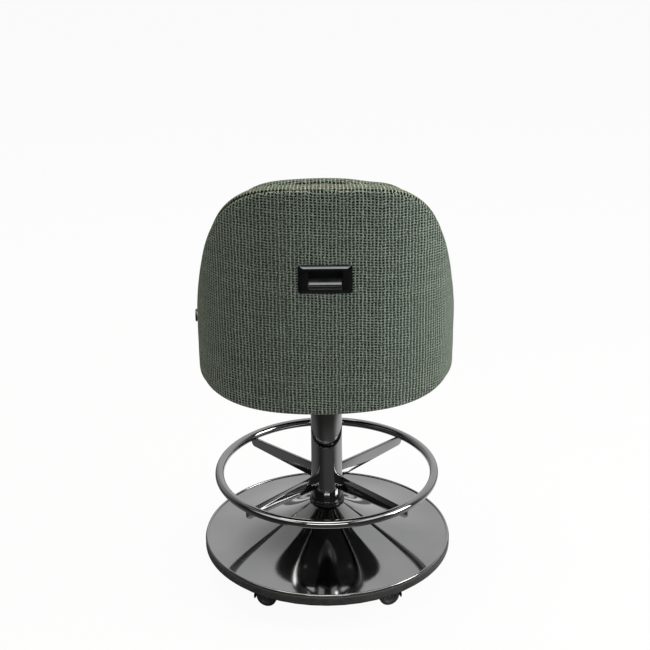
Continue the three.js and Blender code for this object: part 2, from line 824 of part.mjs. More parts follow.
function buildHandle() {
  const rimRings = [
    bezelRing(0, handleCorner, seatHalfDepth - bezelSunk),
    bezelRing(0, handleCorner, seatHalfDepth + bezelEdge),
    bezelRing(bezelSlope, bezelFaceCorner, seatHalfDepth + bezelProud),
  ];
  const rimOutline = rimRings[0].map((point) => new THREE.Vector2(point.x, point.z));
  const slab = loft(rimRings, rimOutline);
  const mouthShape = roundedRectangle(mouthWidth, mouthHeight, mouthCorner);
  const mouthOptions = { depth: handleDepth, bevelEnabled: false, curveSegments: cornerSegments };
  const mouth = new THREE.ExtrudeGeometry(mouthShape, mouthOptions).rotateX(Math.PI / 2);
  mouth.translate(0, seatHalfDepth + handleDepth / 2, handleHeight);
  piece('handle_bezel', geometryOf(solidOf(slab).subtract(solidOf(mouth))), blackPlastic, seat);
  const shell = block(cupWidth, mouthLow - cupWall, mouthHigh + cupUndercut + cupWall, cupBack, cupFront);
  const pocket = new THREE.Shape();
  const backWall = cupBack + cupWall;
  pocket.moveTo(cupFront + overrun, mouthLow);
  pocket.lineTo(cupFront + overrun, mouthHigh);
  pocket.lineTo(cupFront - cupWall, mouthHigh);
  pocket.lineTo(cupFront - cupWall * 2, mouthHigh + cupUndercut);
  pocket.lineTo(backWall, mouthHigh + cupUndercut);
  pocket.lineTo(backWall, handleHeight);
  pocket.lineTo(backWall + cupDepth * scoopRunShare, handleHeight - mouthHeight * scoopDropShare);
  pocket.lineTo(cupFront - cupWall, mouthLow);
  const room = new THREE.ExtrudeGeometry(pocket, { depth: mouthWidth, bevelEnabled: false });
  room.translate(0, 0, -mouthWidth / 2).rotateY(Math.PI / 2).rotateX(Math.PI / 2);
  piece('handle_cup', geometryOf(solidOf(shell).subtract(solidOf(room))), blackPlastic, seat);
}

// Back: a plywood tub between a rear pad and a front pad, with a boxing strip along its top
const bracketSteps = 2;
const bracketSheet = 4;
const bracketGap = 1;
const bracketBottom = seatPanHeight - bracketGap - bracketSheet;
const bracketFoot = 80;
const bracketReach = (tubReach * 2 * bracketSteps) / tubSteps;

// An angle plate: its foot lies under the seat pan and its leg stands against the shell
function bracketLayer(grow) {
  return tubLayer(bracketReach + grow, bracketSteps * 2, (run) => {
    const outer = shellInner(run) + seatGap - grow;
    const inner = outer + bracketSheet + grow * 2;
    const [knee, top] = faceHeights(run);
    return [
      [outer, bracketBottom - grow],
      [outer, knee],
      [outer, top + grow],
      [inner, top + grow],
      [inner, knee],
      [inner, bracketBottom + bracketSheet + grow],
      [inner + bracketFoot, bracketBottom + bracketSheet + grow],
      [inner + bracketFoot, bracketBottom - grow],
    ];
  });
}

function buildBack() {
  const rear = tubLayer(tubReach, tubSteps, (run) => {
    const [pad, hem, seam] = [rearPad(run), hemHeight(run), seamHeight(run)];
    const heights = faceHeights(run);
    return [
      [pad, hem + hemRound / 4],
      [pad * hemInnerShare, hem],
      [pad * hemOuterShare, hem + hemRound / 4],
      ...heights.map((z) => [0, z]),
      [0, seam],
      [pad, seam - topSlope],
      ...[...heights].reverse().map((z) => [pad, z]),
    ];
  });
  piece('back_rear_pad', geometryOf(handleRoom(solidOf(rear))), greenFabric, seat);

  const shell = tubLayer(tubReach, tubSteps, (run) => {
    const [outer, inner] = [shellOuter(run), shellInner(run)];
    const heights = [hemHeight(run) + hemRound / 2, ...faceHeights(run)];
    return [
      ...[...heights].reverse().map((z) => [outer, z]),
      ...heights.map((z) => [inner, z]),
    ];
  });
  piece('back_shell', geometryOf(handleRoom(solidOf(shell))), plywood, seat);

  const boxing = tubLayer(tubReach, tubSteps, (run) => {
    const [pad, width, seam] = [rearPad(run), boxingWidth(run), seamHeight(run)];
    const floor = seam - topSlope + boxingGap;
    return [
      [pad * boxingStartShare, seam - topSlope * boxingStartShare + boxingGap],
      [pad, floor],
      [width, floor],
      [width, seam + boxingCrown * boxingFrontShare],
      [width / 2, seam + boxingCrown],
      [pad * boxingStartShare, seam + boxingCrown * boxingRearShare],
    ];
  });
  piece('back_boxing', boxing, greenFabric, seat);

  const front = tubLayer(tubReach, tubSteps, (run) => {
    const [near, far, width] = [shellInner(run) + seatGap, tubThickness(run), boxingWidth(run) + seatGap];
    const [hem, seam] = [hemHeight(run) + hemRound, seamHeight(run)];
    const heights = faceHeights(run);
    const span = far - width;
    const bulge = (z) => {
      const share = (z - seatTopHeight) / (seam - frontRound - seatTopHeight);
      return taper(run, frontBulge, 0) * Math.sin(Math.PI * THREE.MathUtils.clamp(share, 0, 1));
    };
    return [
      ...heights.map((z) => [near, z]),
      [width, heights[heights.length - 1]],
      [width, seam + boxingCrown * frontStartShare],
      [width + span / 2, seam + frontCrown],
      [width + span * frontShoulderShare, seam - frontRound * frontShoulderDropShare],
      ...levels(seam - frontRound, hem + hemRound / 2, faceLevels).map((z) => [far + bulge(z), z]),
      [far - hemRound / 2, hem],
    ];
  });
  const frontSolid = handleRoom(solidOf(front)).subtract(solidOf(bracketLayer(seatGap)));
  piece('back_front_pad', geometryOf(frontSolid), greenFabric, seat);

  piece('back_bracket', bracketLayer(0), steel, seat);
}

// A black screw cap on a bright washer, low on one arm
const capRadius = 12.5;
const capThickness = 3;
const capCrown = 0.8;
const capWasherRadius = 10;
const capWasherThickness = 1.2;
const capRun = -30;
const capHeight = 590;

function buildSideCap() {
  const { point, normal } = planPoint(quarterPlanRun + capRun);
  const turn = Math.atan2(normal.y, normal.x);
  const group = new THREE.Group();
  group.position.set(point.x, point.y, capHeight);
  group.rotation.z = turn;
  seat.add(group);
  const start = seatGap - tuck(quarterPlanRun + capRun, capHeight);
  const washer = bar(capWasherRadius, start, start + capWasherThickness, middleSegments).rotateY(Math.PI / 2);
  piece('side_cap_washer', washer, steel, group);
  const capStart = start + capWasherThickness + seatGap;
  const outline = [
    [0, capStart],
    [capRadius, capStart],
    [capRadius, capStart + capThickness - capCrown],
    [capRadius - capCrown * 2, capStart + capThickness],
    [0, capStart + capThickness],
  ];
  piece('side_cap', turned(outline, middleSegments).rotateY(Math.PI / 2), blackPlastic, group);
}

buildBallast();
buildRimBand();
buildBaseCover();
buildCollar();
buildColumn();
buildFootRing();
buildCasters();
buildSwivel();
buildSeatFrame();
buildSeatCushion();
buildBack();
buildHandle();
buildSideCap();

export default stool;
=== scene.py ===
# Gaming stool, seen from behind: an upholstered tub back over a swivel seat, a plated column
# with a foot ring, and a spun round base on casters. Metres, +Z up, the sitter faces -Y.

import math

import bpy
import numpy as np
from mathutils import Matrix, Vector, noise


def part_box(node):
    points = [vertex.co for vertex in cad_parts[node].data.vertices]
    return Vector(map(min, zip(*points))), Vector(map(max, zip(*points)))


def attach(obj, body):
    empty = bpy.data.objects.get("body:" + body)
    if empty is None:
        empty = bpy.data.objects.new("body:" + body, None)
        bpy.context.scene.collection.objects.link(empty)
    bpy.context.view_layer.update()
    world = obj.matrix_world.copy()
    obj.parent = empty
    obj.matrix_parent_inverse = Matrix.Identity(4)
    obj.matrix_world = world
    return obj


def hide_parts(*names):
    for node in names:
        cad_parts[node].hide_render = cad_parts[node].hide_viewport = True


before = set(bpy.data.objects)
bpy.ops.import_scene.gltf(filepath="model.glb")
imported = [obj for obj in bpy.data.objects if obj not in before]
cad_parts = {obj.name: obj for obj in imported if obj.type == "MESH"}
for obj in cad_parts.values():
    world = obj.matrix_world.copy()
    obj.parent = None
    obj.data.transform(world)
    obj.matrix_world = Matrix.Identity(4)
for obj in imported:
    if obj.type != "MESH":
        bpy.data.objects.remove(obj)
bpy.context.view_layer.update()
bpy.ops.object.select_all(action="DESELECT")

# Camera: a long lens behind the stool and above it. Its place, tilt and focal length were
# fitted to the round base, the foot ring and the column, before anything was modelled.
camera_place = (0.002, 3.000, 1.8658)
camera_tilt = math.radians(90 - 23.63)
camera_heading = math.radians(179.982)
camera_roll = math.radians(-0.5)
camera_lens = 91.61
camera_sensor = 36
turned = Matrix.Rotation(camera_heading, 3, "Z") @ Matrix.Rotation(camera_tilt, 3, "X")
turned = turned @ Matrix.Rotation(camera_roll, 3, "Z")
bpy.ops.object.camera_add(location=camera_place, rotation=turned.to_euler())
camera = bpy.context.object
camera.data.lens = camera_lens
camera.data.sensor_width = camera_sensor
bpy.context.scene.camera = camera
bpy.context.scene.view_settings.view_transform = "Standard"

# Studio: a pale floor that runs out of sight and a white room. Mirrored in plated metal, the
# room is dark on the camera's side and grey on one side. Soft lamps light the stool.
floor_reach = 14.0
floor_grey_share = 0.86
white_share = 0.95
camera_side_dark_share = 0.90
left_side_shares = (0.1, 0.7)
floor_left_dark_share = 0.8
floor_dark_from, floor_dark_to = -0.1, 0.75
floor_edge_near, floor_edge_far = 0.85, 1.1
floor_edge_dark_share = 0.8
room_left_dark_share = 0.5
room_dark_shares = (-0.75, 0.0)
overhead_shares = (0.8, 0.97)
band_foot_shares = (0.45, 0.6)
band_head_shares = (0.8, 0.92)
band_rear_shares = (-0.1, 0.25)
band_side_shares = (0.3, 0.5)
band_level = 2.2
room_soft = 0.19
lamp_aim_height = 0.65
key_power = 46
side_power = 78
strip_power = 38
front_power = 5


def link_nodes(tree, pairs):
    """Joins sockets in a node tree, each pair from an output to an input."""
    for out, into in pairs:
        tree.links.new(out, into)


def add_math(tree, operation, first, second=None, third=None, clamp=False):
    """A Math node: its inputs are sockets or plain numbers."""
    node = tree.nodes.new("ShaderNodeMath")
    node.operation = operation
    node.use_clamp = clamp
    for i, value in enumerate((first, second, third)):
        if value is None:
            continue
        if isinstance(value, bpy.types.NodeSocket):
            tree.links.new(value, node.inputs[i])
        else:
            node.inputs[i].default_value = value
    return node.outputs[0]


def between(tree, value, low, high):
    """0 below the low limit, 1 above the high one, with a soft step between."""
    step = tree.nodes.new("ShaderNodeMapRange")
    step.interpolation_type = "SMOOTHSTEP"
    step.inputs["From Min"].default_value = low
    step.inputs["From Max"].default_value = high
    tree.links.new(value, step.inputs["Value"])
    return step.outputs[0]


def mirrored_room(tree, heading, rear, front, left_dark_share):
    """How bright the room looks in plated metal, by the heading from the stool.

    It darkens from a heading towards the rear to one towards the camera.
    """
    flat = tree.nodes.new("ShaderNodeVectorMath")
    flat.operation = "MULTIPLY"
    flat.inputs[1].default_value = (1, 1, 0)
    level = tree.nodes.new("ShaderNodeVectorMath")
    level.operation = "NORMALIZE"
    split = tree.nodes.new("ShaderNodeSeparateXYZ")
    link_nodes(tree, [
        (heading, flat.inputs[0]),
        (flat.outputs[0], level.inputs[0]),
        (level.outputs[0], split.inputs[0]),
    ])
    camera_side = between(tree, split.outputs["Y"], rear, front)
    camera_side = add_math(tree, "MULTIPLY", camera_side, -camera_side_dark_share)
    left_side = between(tree, split.outputs["X"], *left_side_shares)
    left_side = add_math(tree, "MULTIPLY", left_side, -left_dark_share)
    return add_math(tree, "ADD", camera_side, 1.0), add_math(tree, "ADD", left_side, 1.0)


bpy.ops.mesh.primitive_plane_add(size=floor_reach * 2, location=(0, 0, 0))
floor = bpy.context.object
floor.name = "studio_floor"
floor_paper = bpy.data.materials.new("white_paper")
floor_paper.use_nodes = True
tree = floor_paper.node_tree
tree.nodes.clear()
matt = tree.nodes.new("ShaderNodeBsdfDiffuse")
matt.inputs["Color"].default_value = (floor_grey_share, floor_grey_share, floor_grey_share, 1)
glow = tree.nodes.new("ShaderNodeEmission")
place = tree.nodes.new("ShaderNodeNewGeometry")
camera_level, left_level = mirrored_room(
    tree, place.outputs["Position"], floor_dark_from, floor_dark_to, floor_left_dark_share)
path = tree.nodes.new("ShaderNodeLightPath")
distance = tree.nodes.new("ShaderNodeVectorMath")
distance.operation = "LENGTH"
tree.links.new(place.outputs["Position"], distance.inputs[0])
far_off = between(tree, distance.outputs["Value"], floor_edge_near, floor_edge_far)
edge_level = add_math(tree, "MULTIPLY_ADD", far_off, -floor_edge_dark_share, 1.0)
mirror_level = add_math(tree, "MULTIPLY", camera_level, left_level)
mirror_level = add_math(tree, "MULTIPLY", mirror_level, edge_level)
seen_level = add_math(tree, "MAXIMUM", mirror_level, path.outputs["Is Camera Ray"])
seen = add_math(tree, "MAXIMUM", path.outputs["Is Camera Ray"], path.outputs["Is Glossy Ray"])
seen = add_math(tree, "MAXIMUM", seen, path.outputs["Is Transmission Ray"])
mix = tree.nodes.new("ShaderNodeMixShader")
out = tree.nodes.new("ShaderNodeOutputMaterial")
link_nodes(tree, [
    (seen_level, glow.inputs["Strength"]),
    (add_math(tree, "MULTIPLY", seen, white_share), mix.inputs["Fac"]),
    (matt.outputs[0], mix.inputs[1]),
    (glow.outputs[0], mix.inputs[2]),
    (mix.outputs[0], out.inputs["Surface"]),
])
floor.data.materials.append(floor_paper)

world = bpy.data.worlds.new("studio")
bpy.context.scene.world = world
world.use_nodes = True
tree = world.node_tree
tree.nodes.clear()
direction = tree.nodes.new("ShaderNodeTexCoord")
split = tree.nodes.new("ShaderNodeSeparateXYZ")
tree.links.new(direction.outputs["Generated"], split.inputs[0])
camera_level, left_level = mirrored_room(
    tree, direction.outputs["Generated"], *room_dark_shares, room_left_dark_share)
overhead = between(tree, split.outputs["Z"], *overhead_shares)
room = add_math(tree, "MAXIMUM", add_math(tree, "MULTIPLY", camera_level, left_level), overhead)
band_foot = between(tree, split.outputs["Z"], *band_foot_shares)
band_head = between(tree, split.outputs["Z"], *band_head_shares)
band_rear = between(tree, split.outputs["Y"], *band_rear_shares)
sideways = add_math(tree, "ABSOLUTE", split.outputs["X"])
band_side = between(tree, sideways, *band_side_shares)
band = add_math(tree, "MULTIPLY", band_foot, add_math(tree, "SUBTRACT", 1.0, band_head))
band = add_math(tree, "MULTIPLY", band, band_rear)
band = add_math(tree, "MULTIPLY", band, band_side)
room = add_math(tree, "MULTIPLY_ADD", band, band_level, room)
path = tree.nodes.new("ShaderNodeLightPath")
mirrored = add_math(tree, "MAXIMUM", path.outputs["Is Glossy Ray"], path.outputs["Is Transmission Ray"])
soft = add_math(tree, "MULTIPLY", add_math(tree, "SUBTRACT", 1.0, mirrored), room_soft)
strength = add_math(tree, "ADD", add_math(tree, "MULTIPLY", mirrored, room), soft)
strength = add_math(tree, "MAXIMUM", strength, path.outputs["Is Camera Ray"])
sky = tree.nodes.new("ShaderNodeBackground")
sky.inputs["Color"].default_value = (1, 1, 1, 1)
out = tree.nodes.new("ShaderNodeOutputWorld")
link_nodes(tree, [(strength, sky.inputs["Strength"]), (sky.outputs[0], out.inputs["Surface"])])


def softbox(name, place, size, power, warmth):
    """A soft lamp at a place, turned towards the seat's back. The camera doesn't see it."""
    bpy.ops.object.light_add(type="AREA", location=place)
    lamp = bpy.context.object
    lamp.name = name
    lamp.data.shape = "RECTANGLE"
    lamp.data.size, lamp.data.size_y = size
    lamp.data.energy = power
    lamp.data.color = warmth
    aim = Vector((0, 0, lamp_aim_height)) - Vector(place)
    lamp.rotation_euler = aim.to_track_quat("-Z", "Y").to_euler()
    lamp.visible_camera = False
    return lamp


softbox("lamp_above", (0.2, 0.3, 2.9), (1.8, 1.8), key_power, (1.0, 0.95, 0.83))
softbox("lamp_right", (-2.8, 0.7, 1.7), (1.2, 1.6), side_power, (1.0, 0.99, 0.95))
strip_lamp = softbox(
    "lamp_behind_camera", (0, 3.4, 1.76), (2.4, 0.6), strip_power, (0.9, 0.96, 1.0))
strip_lamp.visible_diffuse = False
seat_lamp = softbox(
    "lamp_facing_seat", (1.2, -2.4, 2.0), (1.4, 1.4), front_power, (1.0, 1.0, 1.0))
seat_lamp.visible_glossy = False

# Base cover: one sheet of steel, spun over a former into a bell with a rolled bead at its rim,
# then polished and plated in black nickel. It drops over the cast weight and hides it.
base_radius = 0.254
column_radius = 0.03175
seat_gap = 0.0003
cover_sheet = 0.0015
cover_neck_height = 0.158
cover_rim_height = 0.087
cover_power = 2
bead_radius = 0.0025
bead_groove = 0.002
band_top = 0.082
wide_sides = 192
smooth_angle = math.radians(40)
flare_share_power = 1.3


def new_material(name, colour, roughness, metallic=0.0):
    """A material whose shader has these plain values, with its tree and shader for more work."""
    material = bpy.data.materials.new(name)
    material.use_nodes = True
    shader = material.node_tree.nodes["Principled BSDF"]
    shader.inputs["Base Color"].default_value = (*colour, 1)
    shader.inputs["Roughness"].default_value = roughness
    shader.inputs["Metallic"].default_value = metallic
    return material, material.node_tree, shader


def speckle(tree, scale, detail=3.0, stretch=(1, 1, 1)):
    """Noise in the object's own space, at so many blobs to the metre."""
    place = tree.nodes.new("ShaderNodeTexCoord")
    mapping = tree.nodes.new("ShaderNodeMapping")
    mapping.inputs["Scale"].default_value = stretch
    grain = tree.nodes.new("ShaderNodeTexNoise")
    grain.inputs["Scale"].default_value = scale
    grain.inputs["Detail"].default_value = detail
    link_nodes(tree, [
        (place.outputs["Object"], mapping.inputs[0]),
        (mapping.outputs[0], grain.inputs["Vector"]),
    ])
    return grain.outputs["Fac"]


def spread_value(tree, source, low, high):
    """A noise value spread between two limits."""
    spread = tree.nodes.new("ShaderNodeMapRange")
    spread.inputs["From Min"].default_value = 0.3
    spread.inputs["From Max"].default_value = 0.7
    spread.inputs["To Min"].default_value = low
    spread.inputs["To Max"].default_value = high
    tree.links.new(source, spread.inputs["Value"])
    return spread.outputs[0]


def spread_colour(tree, source, first, second):
    """A noise value as a blend of two colours."""
    ramp = tree.nodes.new("ShaderNodeValToRGB")
    ramp.color_ramp.elements[0].position = 0.35
    ramp.color_ramp.elements[0].color = (*first, 1)
    ramp.color_ramp.elements[1].position = 0.65
    ramp.color_ramp.elements[1].color = (*second, 1)
    tree.links.new(source, ramp.inputs["Fac"])
    return ramp.outputs["Color"]


def vary_finish(tree, shader, rough_grain, rough_limits, tint_grain, tints):
    """Lets a finish vary: its roughness between two limits, and its colour between two tints."""
    link_nodes(tree, [
        (spread_value(tree, rough_grain, *rough_limits), shader.inputs["Roughness"]),
        (spread_colour(tree, tint_grain, *tints), shader.inputs["Base Color"]),
    ])


def bump_from(tree, shader, height, distance, strength=1.0):
    """Raises the surface by a height pattern."""
    bump = tree.nodes.new("ShaderNodeBump")
    bump.inputs["Distance"].default_value = distance
    bump.inputs["Strength"].default_value = strength
    link_nodes(tree, [(height, bump.inputs["Height"]), (bump.outputs[0], shader.inputs["Normal"])])


black_nickel, tree, shader = new_material("black_nickel", (0.255, 0.255, 0.26), 0.06, 1.0)
haze = speckle(tree, 9, 5)
vary_finish(tree, shader, haze, (0.04, 0.1), haze, ((0.24, 0.242, 0.246), (0.275, 0.274, 0.275)))


def close_up(piece, reach=1e-6, outward=True):
    """Merges points that lie within reach of each other, and points all the faces outwards."""
    bpy.context.view_layer.objects.active = piece
    bpy.ops.object.mode_set(mode="EDIT")
    bpy.ops.mesh.select_all(action="SELECT")
    bpy.ops.mesh.remove_doubles(threshold=reach)
    if outward:
        bpy.ops.mesh.normals_make_consistent(inside=False)
    bpy.ops.object.mode_set(mode="OBJECT")


def turn_on_lathe(name, outline, sides=96):
    """A turned piece: a circle drawn out ring by ring along an outline of radii and heights."""
    bpy.ops.object.select_all(action="DESELECT")
    radius, height = outline[0]
    bpy.ops.mesh.primitive_circle_add(vertices=sides, radius=radius, location=(0, 0, 0))
    piece = bpy.context.object
    piece.name = name
    bpy.ops.object.mode_set(mode="EDIT")
    bpy.ops.mesh.select_all(action="SELECT")
    bpy.ops.transform.translate(value=(0, 0, height))
    for (radius, height), (next_radius, next_height) in zip(outline, outline[1:]):
        step = (0, 0, next_height - height)
        bpy.ops.mesh.extrude_edges_move(TRANSFORM_OT_translate={"value": step})
        growth = next_radius / radius
        bpy.ops.transform.resize(value=(growth, growth, 1), center_override=(0, 0, next_height))
    close_up(piece)
    bpy.ops.object.shade_smooth_by_angle(angle=smooth_angle)
    return piece


def arc(centre, radius, start, end, steps):
    """Points of an arc in radius and height, with its angles in degrees."""
    turns = [math.radians(start + (end - start) * i / steps) for i in range(steps + 1)]
    return [(centre[0] + radius * math.cos(t), centre[1] + radius * math.sin(t)) for t in turns]


def settle(piece, body, material, slot_name, *nodes):
    """Puts the finish on a piece, lets it ride on its body and stand for its CAD nodes."""
    piece.data.materials.clear()
    piece.data.materials.append(material)
    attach(piece, body)
    if nodes:
        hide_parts(*nodes)
    return piece


def flare_height(share):
    """Height of the bell at a share of the way from its neck to its rim."""
    rise = (cover_neck_height - cover_rim_height) * (1 - share) ** cover_power
    return cover_rim_height - bead_radius + rise


cover_neck = column_radius + seat_gap + cover_sheet
bead_middle = base_radius - cover_sheet - bead_radius
cover_skirt = bead_middle - bead_radius - bead_groove
flare_shares = [(i / 40) ** flare_share_power for i in range(41)]
outline = [(cover_neck + (cover_skirt - cover_neck) * s, flare_height(s)) for s in flare_shares]
outline += arc((bead_middle, cover_rim_height - bead_radius), bead_radius, 180, 0, 12)
outline += [(bead_middle + bead_radius, band_top + seat_gap), (cover_skirt, band_top + seat_gap)]
outline += [(cover_neck + (cover_skirt - cover_neck) * s, flare_height(s) - cover_sheet)
            for s in reversed(flare_shares[1:-1])]
outline += [(cover_neck - cover_sheet, cover_neck_height - cover_sheet),
            (cover_neck - cover_sheet, cover_neck_height), outline[0]]
base_cover = turn_on_lathe("spun_base_cover", outline, wide_sides)
settle(base_cover, "base", black_nickel, "black_nickel", "base_cover")

# Rim band: an extruded strip of black rubber, pushed on to the edge of the cast weight below
# the cover's bead. It takes the knocks, so its corners are rounded and its face is dull.
band_bottom = 0.065
band_wall = 0.006
band_corner = 0.002

black_rubber, tree, shader = new_material("black_rubber", (0.03, 0.03, 0.031), 0.55)
dust = speckle(tree, 60, 4)
vary_finish(tree, shader, dust, (0.5, 0.68), dust, ((0.026, 0.026, 0.027), (0.037, 0.037, 0.038)))
bump_from(tree, shader, speckle(tree, 1800, 2), 0.0002, 0.5)

band_inner = base_radius - band_wall
outline = [(band_inner, band_bottom)]
outline += arc((base_radius - band_corner, band_bottom + band_corner), band_corner, -90, 0, 5)
outline += arc((base_radius - band_corner, band_top - band_corner), band_corner, 0, 90, 5)
outline += [(band_inner, band_top), outline[0]]
rim_band = turn_on_lathe("rubber_rim_band", outline, wide_sides)
settle(rim_band, "base", black_rubber, "black_rubber", "rim_band")

# Column: a length of 63.5 mm steel tube in the same black nickel, with a moulded rubber collar
# that closes the gap where it leaves the cover.
column_bottom, column_top = (corner.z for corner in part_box("column_tube"))
column_wall = 0.0025
column_edge = 0.0008

outline = [(column_radius - column_wall, column_bottom), (column_radius, column_bottom)]
outline += arc((column_radius - column_edge, column_top - column_edge), column_edge, 0, 90, 4)
outline += [(column_radius - column_wall, column_top), outline[0]]
column = turn_on_lathe("column_tube_plated", outline, wide_sides)
settle(column, "base", black_nickel, "black_nickel", "column_tube")

collar_low, collar_high = (corner.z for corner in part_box("base_collar"))
collar_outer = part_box("base_collar")[1].x
collar_inner = column_radius + seat_gap
collar_lip = 0.0016
outline = [(collar_inner, collar_low), (collar_outer, collar_low)]
outline += arc((collar_outer - collar_lip, collar_low + 2 * collar_lip), collar_lip, 0, 70, 4)
outline += arc((collar_inner + collar_lip, collar_high - collar_lip), collar_lip, 20, 90, 4)
outline += [(collar_inner, collar_high), outline[0]]
black_plastic, tree, shader = new_material("black_plastic", (0.006, 0.006, 0.007), 0.16)
grain = speckle(tree, 90, 4)
vary_finish(
    tree, shader, grain, (0.09, 0.13), grain, ((0.004, 0.004, 0.005), (0.008, 0.008, 0.009)))
bump_from(tree, shader, speckle(tree, 2600, 2), 0.00005, 0.2)
collar = turn_on_lathe("column_collar", outline, wide_sides)
settle(collar, "base", black_plastic, "black_rubber", "base_collar")

# Foot ring: a tube bent round and butt welded, on four flat bars laid on edge. The bars are
# welded to the column and under the tube before the whole frame is polished and plated.
ring_height = 0.228
ring_radius = 0.220
ring_tube = 0.009
spoke_names = [f"footring_spoke_{i}" for i in range(1, 5)]
spoke_thickness = 0.005
spoke_rise = 0.0025
spoke_root_depth = 0.0335
spoke_tip_depth = 0.0265
spoke_tip_reach = 0.225
spoke_tip_corner = 0.009
spoke_edge = 0.0007
spoke_overlap = 0.001
weld_bead = 0.0022
weld_swell_share = 0.05

bpy.ops.object.select_all(action="DESELECT")
bpy.ops.mesh.primitive_torus_add(
    major_radius=ring_radius, minor_radius=ring_tube, major_segments=192, minor_segments=28,
    location=(0, 0, 0))
foot_ring = bpy.context.object
foot_ring.name = "foot_ring"
bpy.ops.object.mode_set(mode="EDIT")
bpy.ops.mesh.select_all(action="SELECT")
bpy.ops.transform.translate(value=(0, 0, ring_height))
bpy.ops.object.mode_set(mode="OBJECT")
for vertex in foot_ring.data.vertices:
    turn = math.atan2(vertex.co.y, vertex.co.x)
    weld = math.exp(-((turn + math.pi / 2) * ring_radius / weld_bead) ** 2)
    middle = Vector((ring_radius * math.cos(turn), ring_radius * math.sin(turn), ring_height))
    vertex.co = middle + (vertex.co - middle) * (1 + weld_swell_share * weld)
bpy.ops.object.shade_smooth()
settle(foot_ring, "base", black_nickel, "black_nickel", "footring_tube")


def pick_vertices(piece, test):
    """Selects the vertices of a piece in edit mode by their place."""
    bpy.ops.mesh.select_all(action="DESELECT")
    bpy.ops.object.mode_set(mode="OBJECT")
    for vertex in piece.data.vertices:
        vertex.select = test(vertex.co)
    bpy.ops.object.mode_set(mode="EDIT")


def lay_at_origin(piece):
    """Leaves the piece's place in its mesh, with its object at the origin."""
    bpy.ops.object.select_all(action="DESELECT")
    piece.select_set(True)
    bpy.context.view_layer.objects.active = piece
    bpy.ops.object.transform_apply(location=True, rotation=True, scale=True)


def rounded_edges(piece, width, segments=2, angle=30):
    """Rounds every edge sharper than the angle, in degrees."""
    bevel = piece.modifiers.new("rounded", "BEVEL")
    bevel.width = width
    bevel.segments = segments
    bevel.limit_method = "ANGLE"
    bevel.angle_limit = math.radians(angle)
    bpy.context.view_layer.objects.active = piece
    bpy.ops.object.modifier_apply(modifier="rounded")
    bpy.ops.object.select_all(action="DESELECT")
    piece.select_set(True)
    bpy.ops.object.shade_smooth_by_angle(angle=math.radians(angle))


def copy_turned(piece, name, turn):
    """A copy of a piece with its own mesh, turned about the column."""
    twin = piece.copy()
    twin.data = piece.data.copy()
    twin.name = name
    bpy.context.scene.collection.objects.link(twin)
    twin.data.transform(Matrix.Rotation(turn, 4, "Z"))
    return twin


spoke_root = column_radius - spoke_overlap
spoke_top = ring_height + spoke_rise
bpy.ops.object.select_all(action="DESELECT")
bpy.ops.mesh.primitive_cube_add(size=1, location=(0, 0, 0))
first_spoke = bpy.context.object
first_spoke.scale = (spoke_tip_reach - spoke_root, spoke_thickness, spoke_root_depth)
first_spoke.location = ((spoke_tip_reach + spoke_root) / 2, 0, spoke_top - spoke_root_depth / 2)
lay_at_origin(first_spoke)
bpy.ops.object.mode_set(mode="EDIT")
pick_vertices(first_spoke, lambda co: co.x > ring_radius and co.z < ring_height - ring_tube)
bpy.ops.transform.translate(value=(0, 0, spoke_root_depth - spoke_tip_depth))
bpy.ops.mesh.bevel(offset=spoke_tip_corner, segments=8, affect="EDGES")
pick_vertices(first_spoke, lambda co: co.x > ring_radius and co.z > ring_height)
bpy.ops.transform.translate(value=(0, 0, -ring_tube / 2 - spoke_rise))
bpy.ops.mesh.select_all(action="SELECT")
bpy.ops.mesh.normals_make_consistent(inside=False)
bpy.ops.object.mode_set(mode="OBJECT")
rounded_edges(first_spoke, spoke_edge)
for i, node in enumerate(spoke_names):
    turn = math.radians(45 + 90 * i)
    spoke = copy_turned(first_spoke, f"foot_ring_bar_{i + 1}", turn)
    settle(spoke, "base", black_nickel, "black_nickel", node)
bpy.data.objects.remove(first_spoke)

# Casters: each has a moulded hood that turns on a steel stem, and two wheels on one axle under it.
# The wheels trail behind the stem. The stems are pushed into steel sockets in the cast weight.
caster_count = 5
caster_circle = 0.178
caster_trail = 0.016
wheel_radius = 0.021
wheel_gap = 0.0043
wheel_width = 0.014
wheel_shoulder = 0.0035
hub_radius = 0.0135
hub_dish = 0.0025
hood_gap = 0.002
hood_wall = 0.0025
hood_side_gap = 0.0008
web_radius = 0.013
axle_radius = 0.003
stem_radius = 0.0055
stem_collar = 0.009
stem_edge = 0.0008
stem_point = 0.001
stem_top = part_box("caster_1_hood")[1].z
hood_front = math.radians(14)
hood_cut_drop = 0.002
hood_edge = 0.0005
hub_edge = 0.0006
hub_boss = 0.0025
hub_boss_share = 1.2
axle_end_share = 1.1
wheel_chamfer = 0.001
lathe_axis = 0.0001


def cut_away(piece, tool, operation="DIFFERENCE"):
    """Cuts one piece with another, or joins it on, and removes the other."""
    cut = piece.modifiers.new("cut", "BOOLEAN")
    cut.operation = operation
    cut.solver = "EXACT"
    cut.object = tool
    bpy.ops.object.select_all(action="DESELECT")
    piece.select_set(True)
    bpy.context.view_layer.objects.active = piece
    bpy.ops.object.modifier_apply(modifier="cut")
    bpy.data.objects.remove(tool)


def drum(radius, low, high, sides=64):
    """A plain drum across the caster, from one side to another, for shaping the hood."""
    bpy.ops.object.select_all(action="DESELECT")
    bpy.ops.mesh.primitive_cylinder_add(
        vertices=sides, radius=radius, depth=high - low,
        location=((low + high) / 2, caster_circle + caster_trail, wheel_radius),
        rotation=(0, math.radians(90), 0))
    tool = bpy.context.object
    lay_at_origin(tool)
    return tool


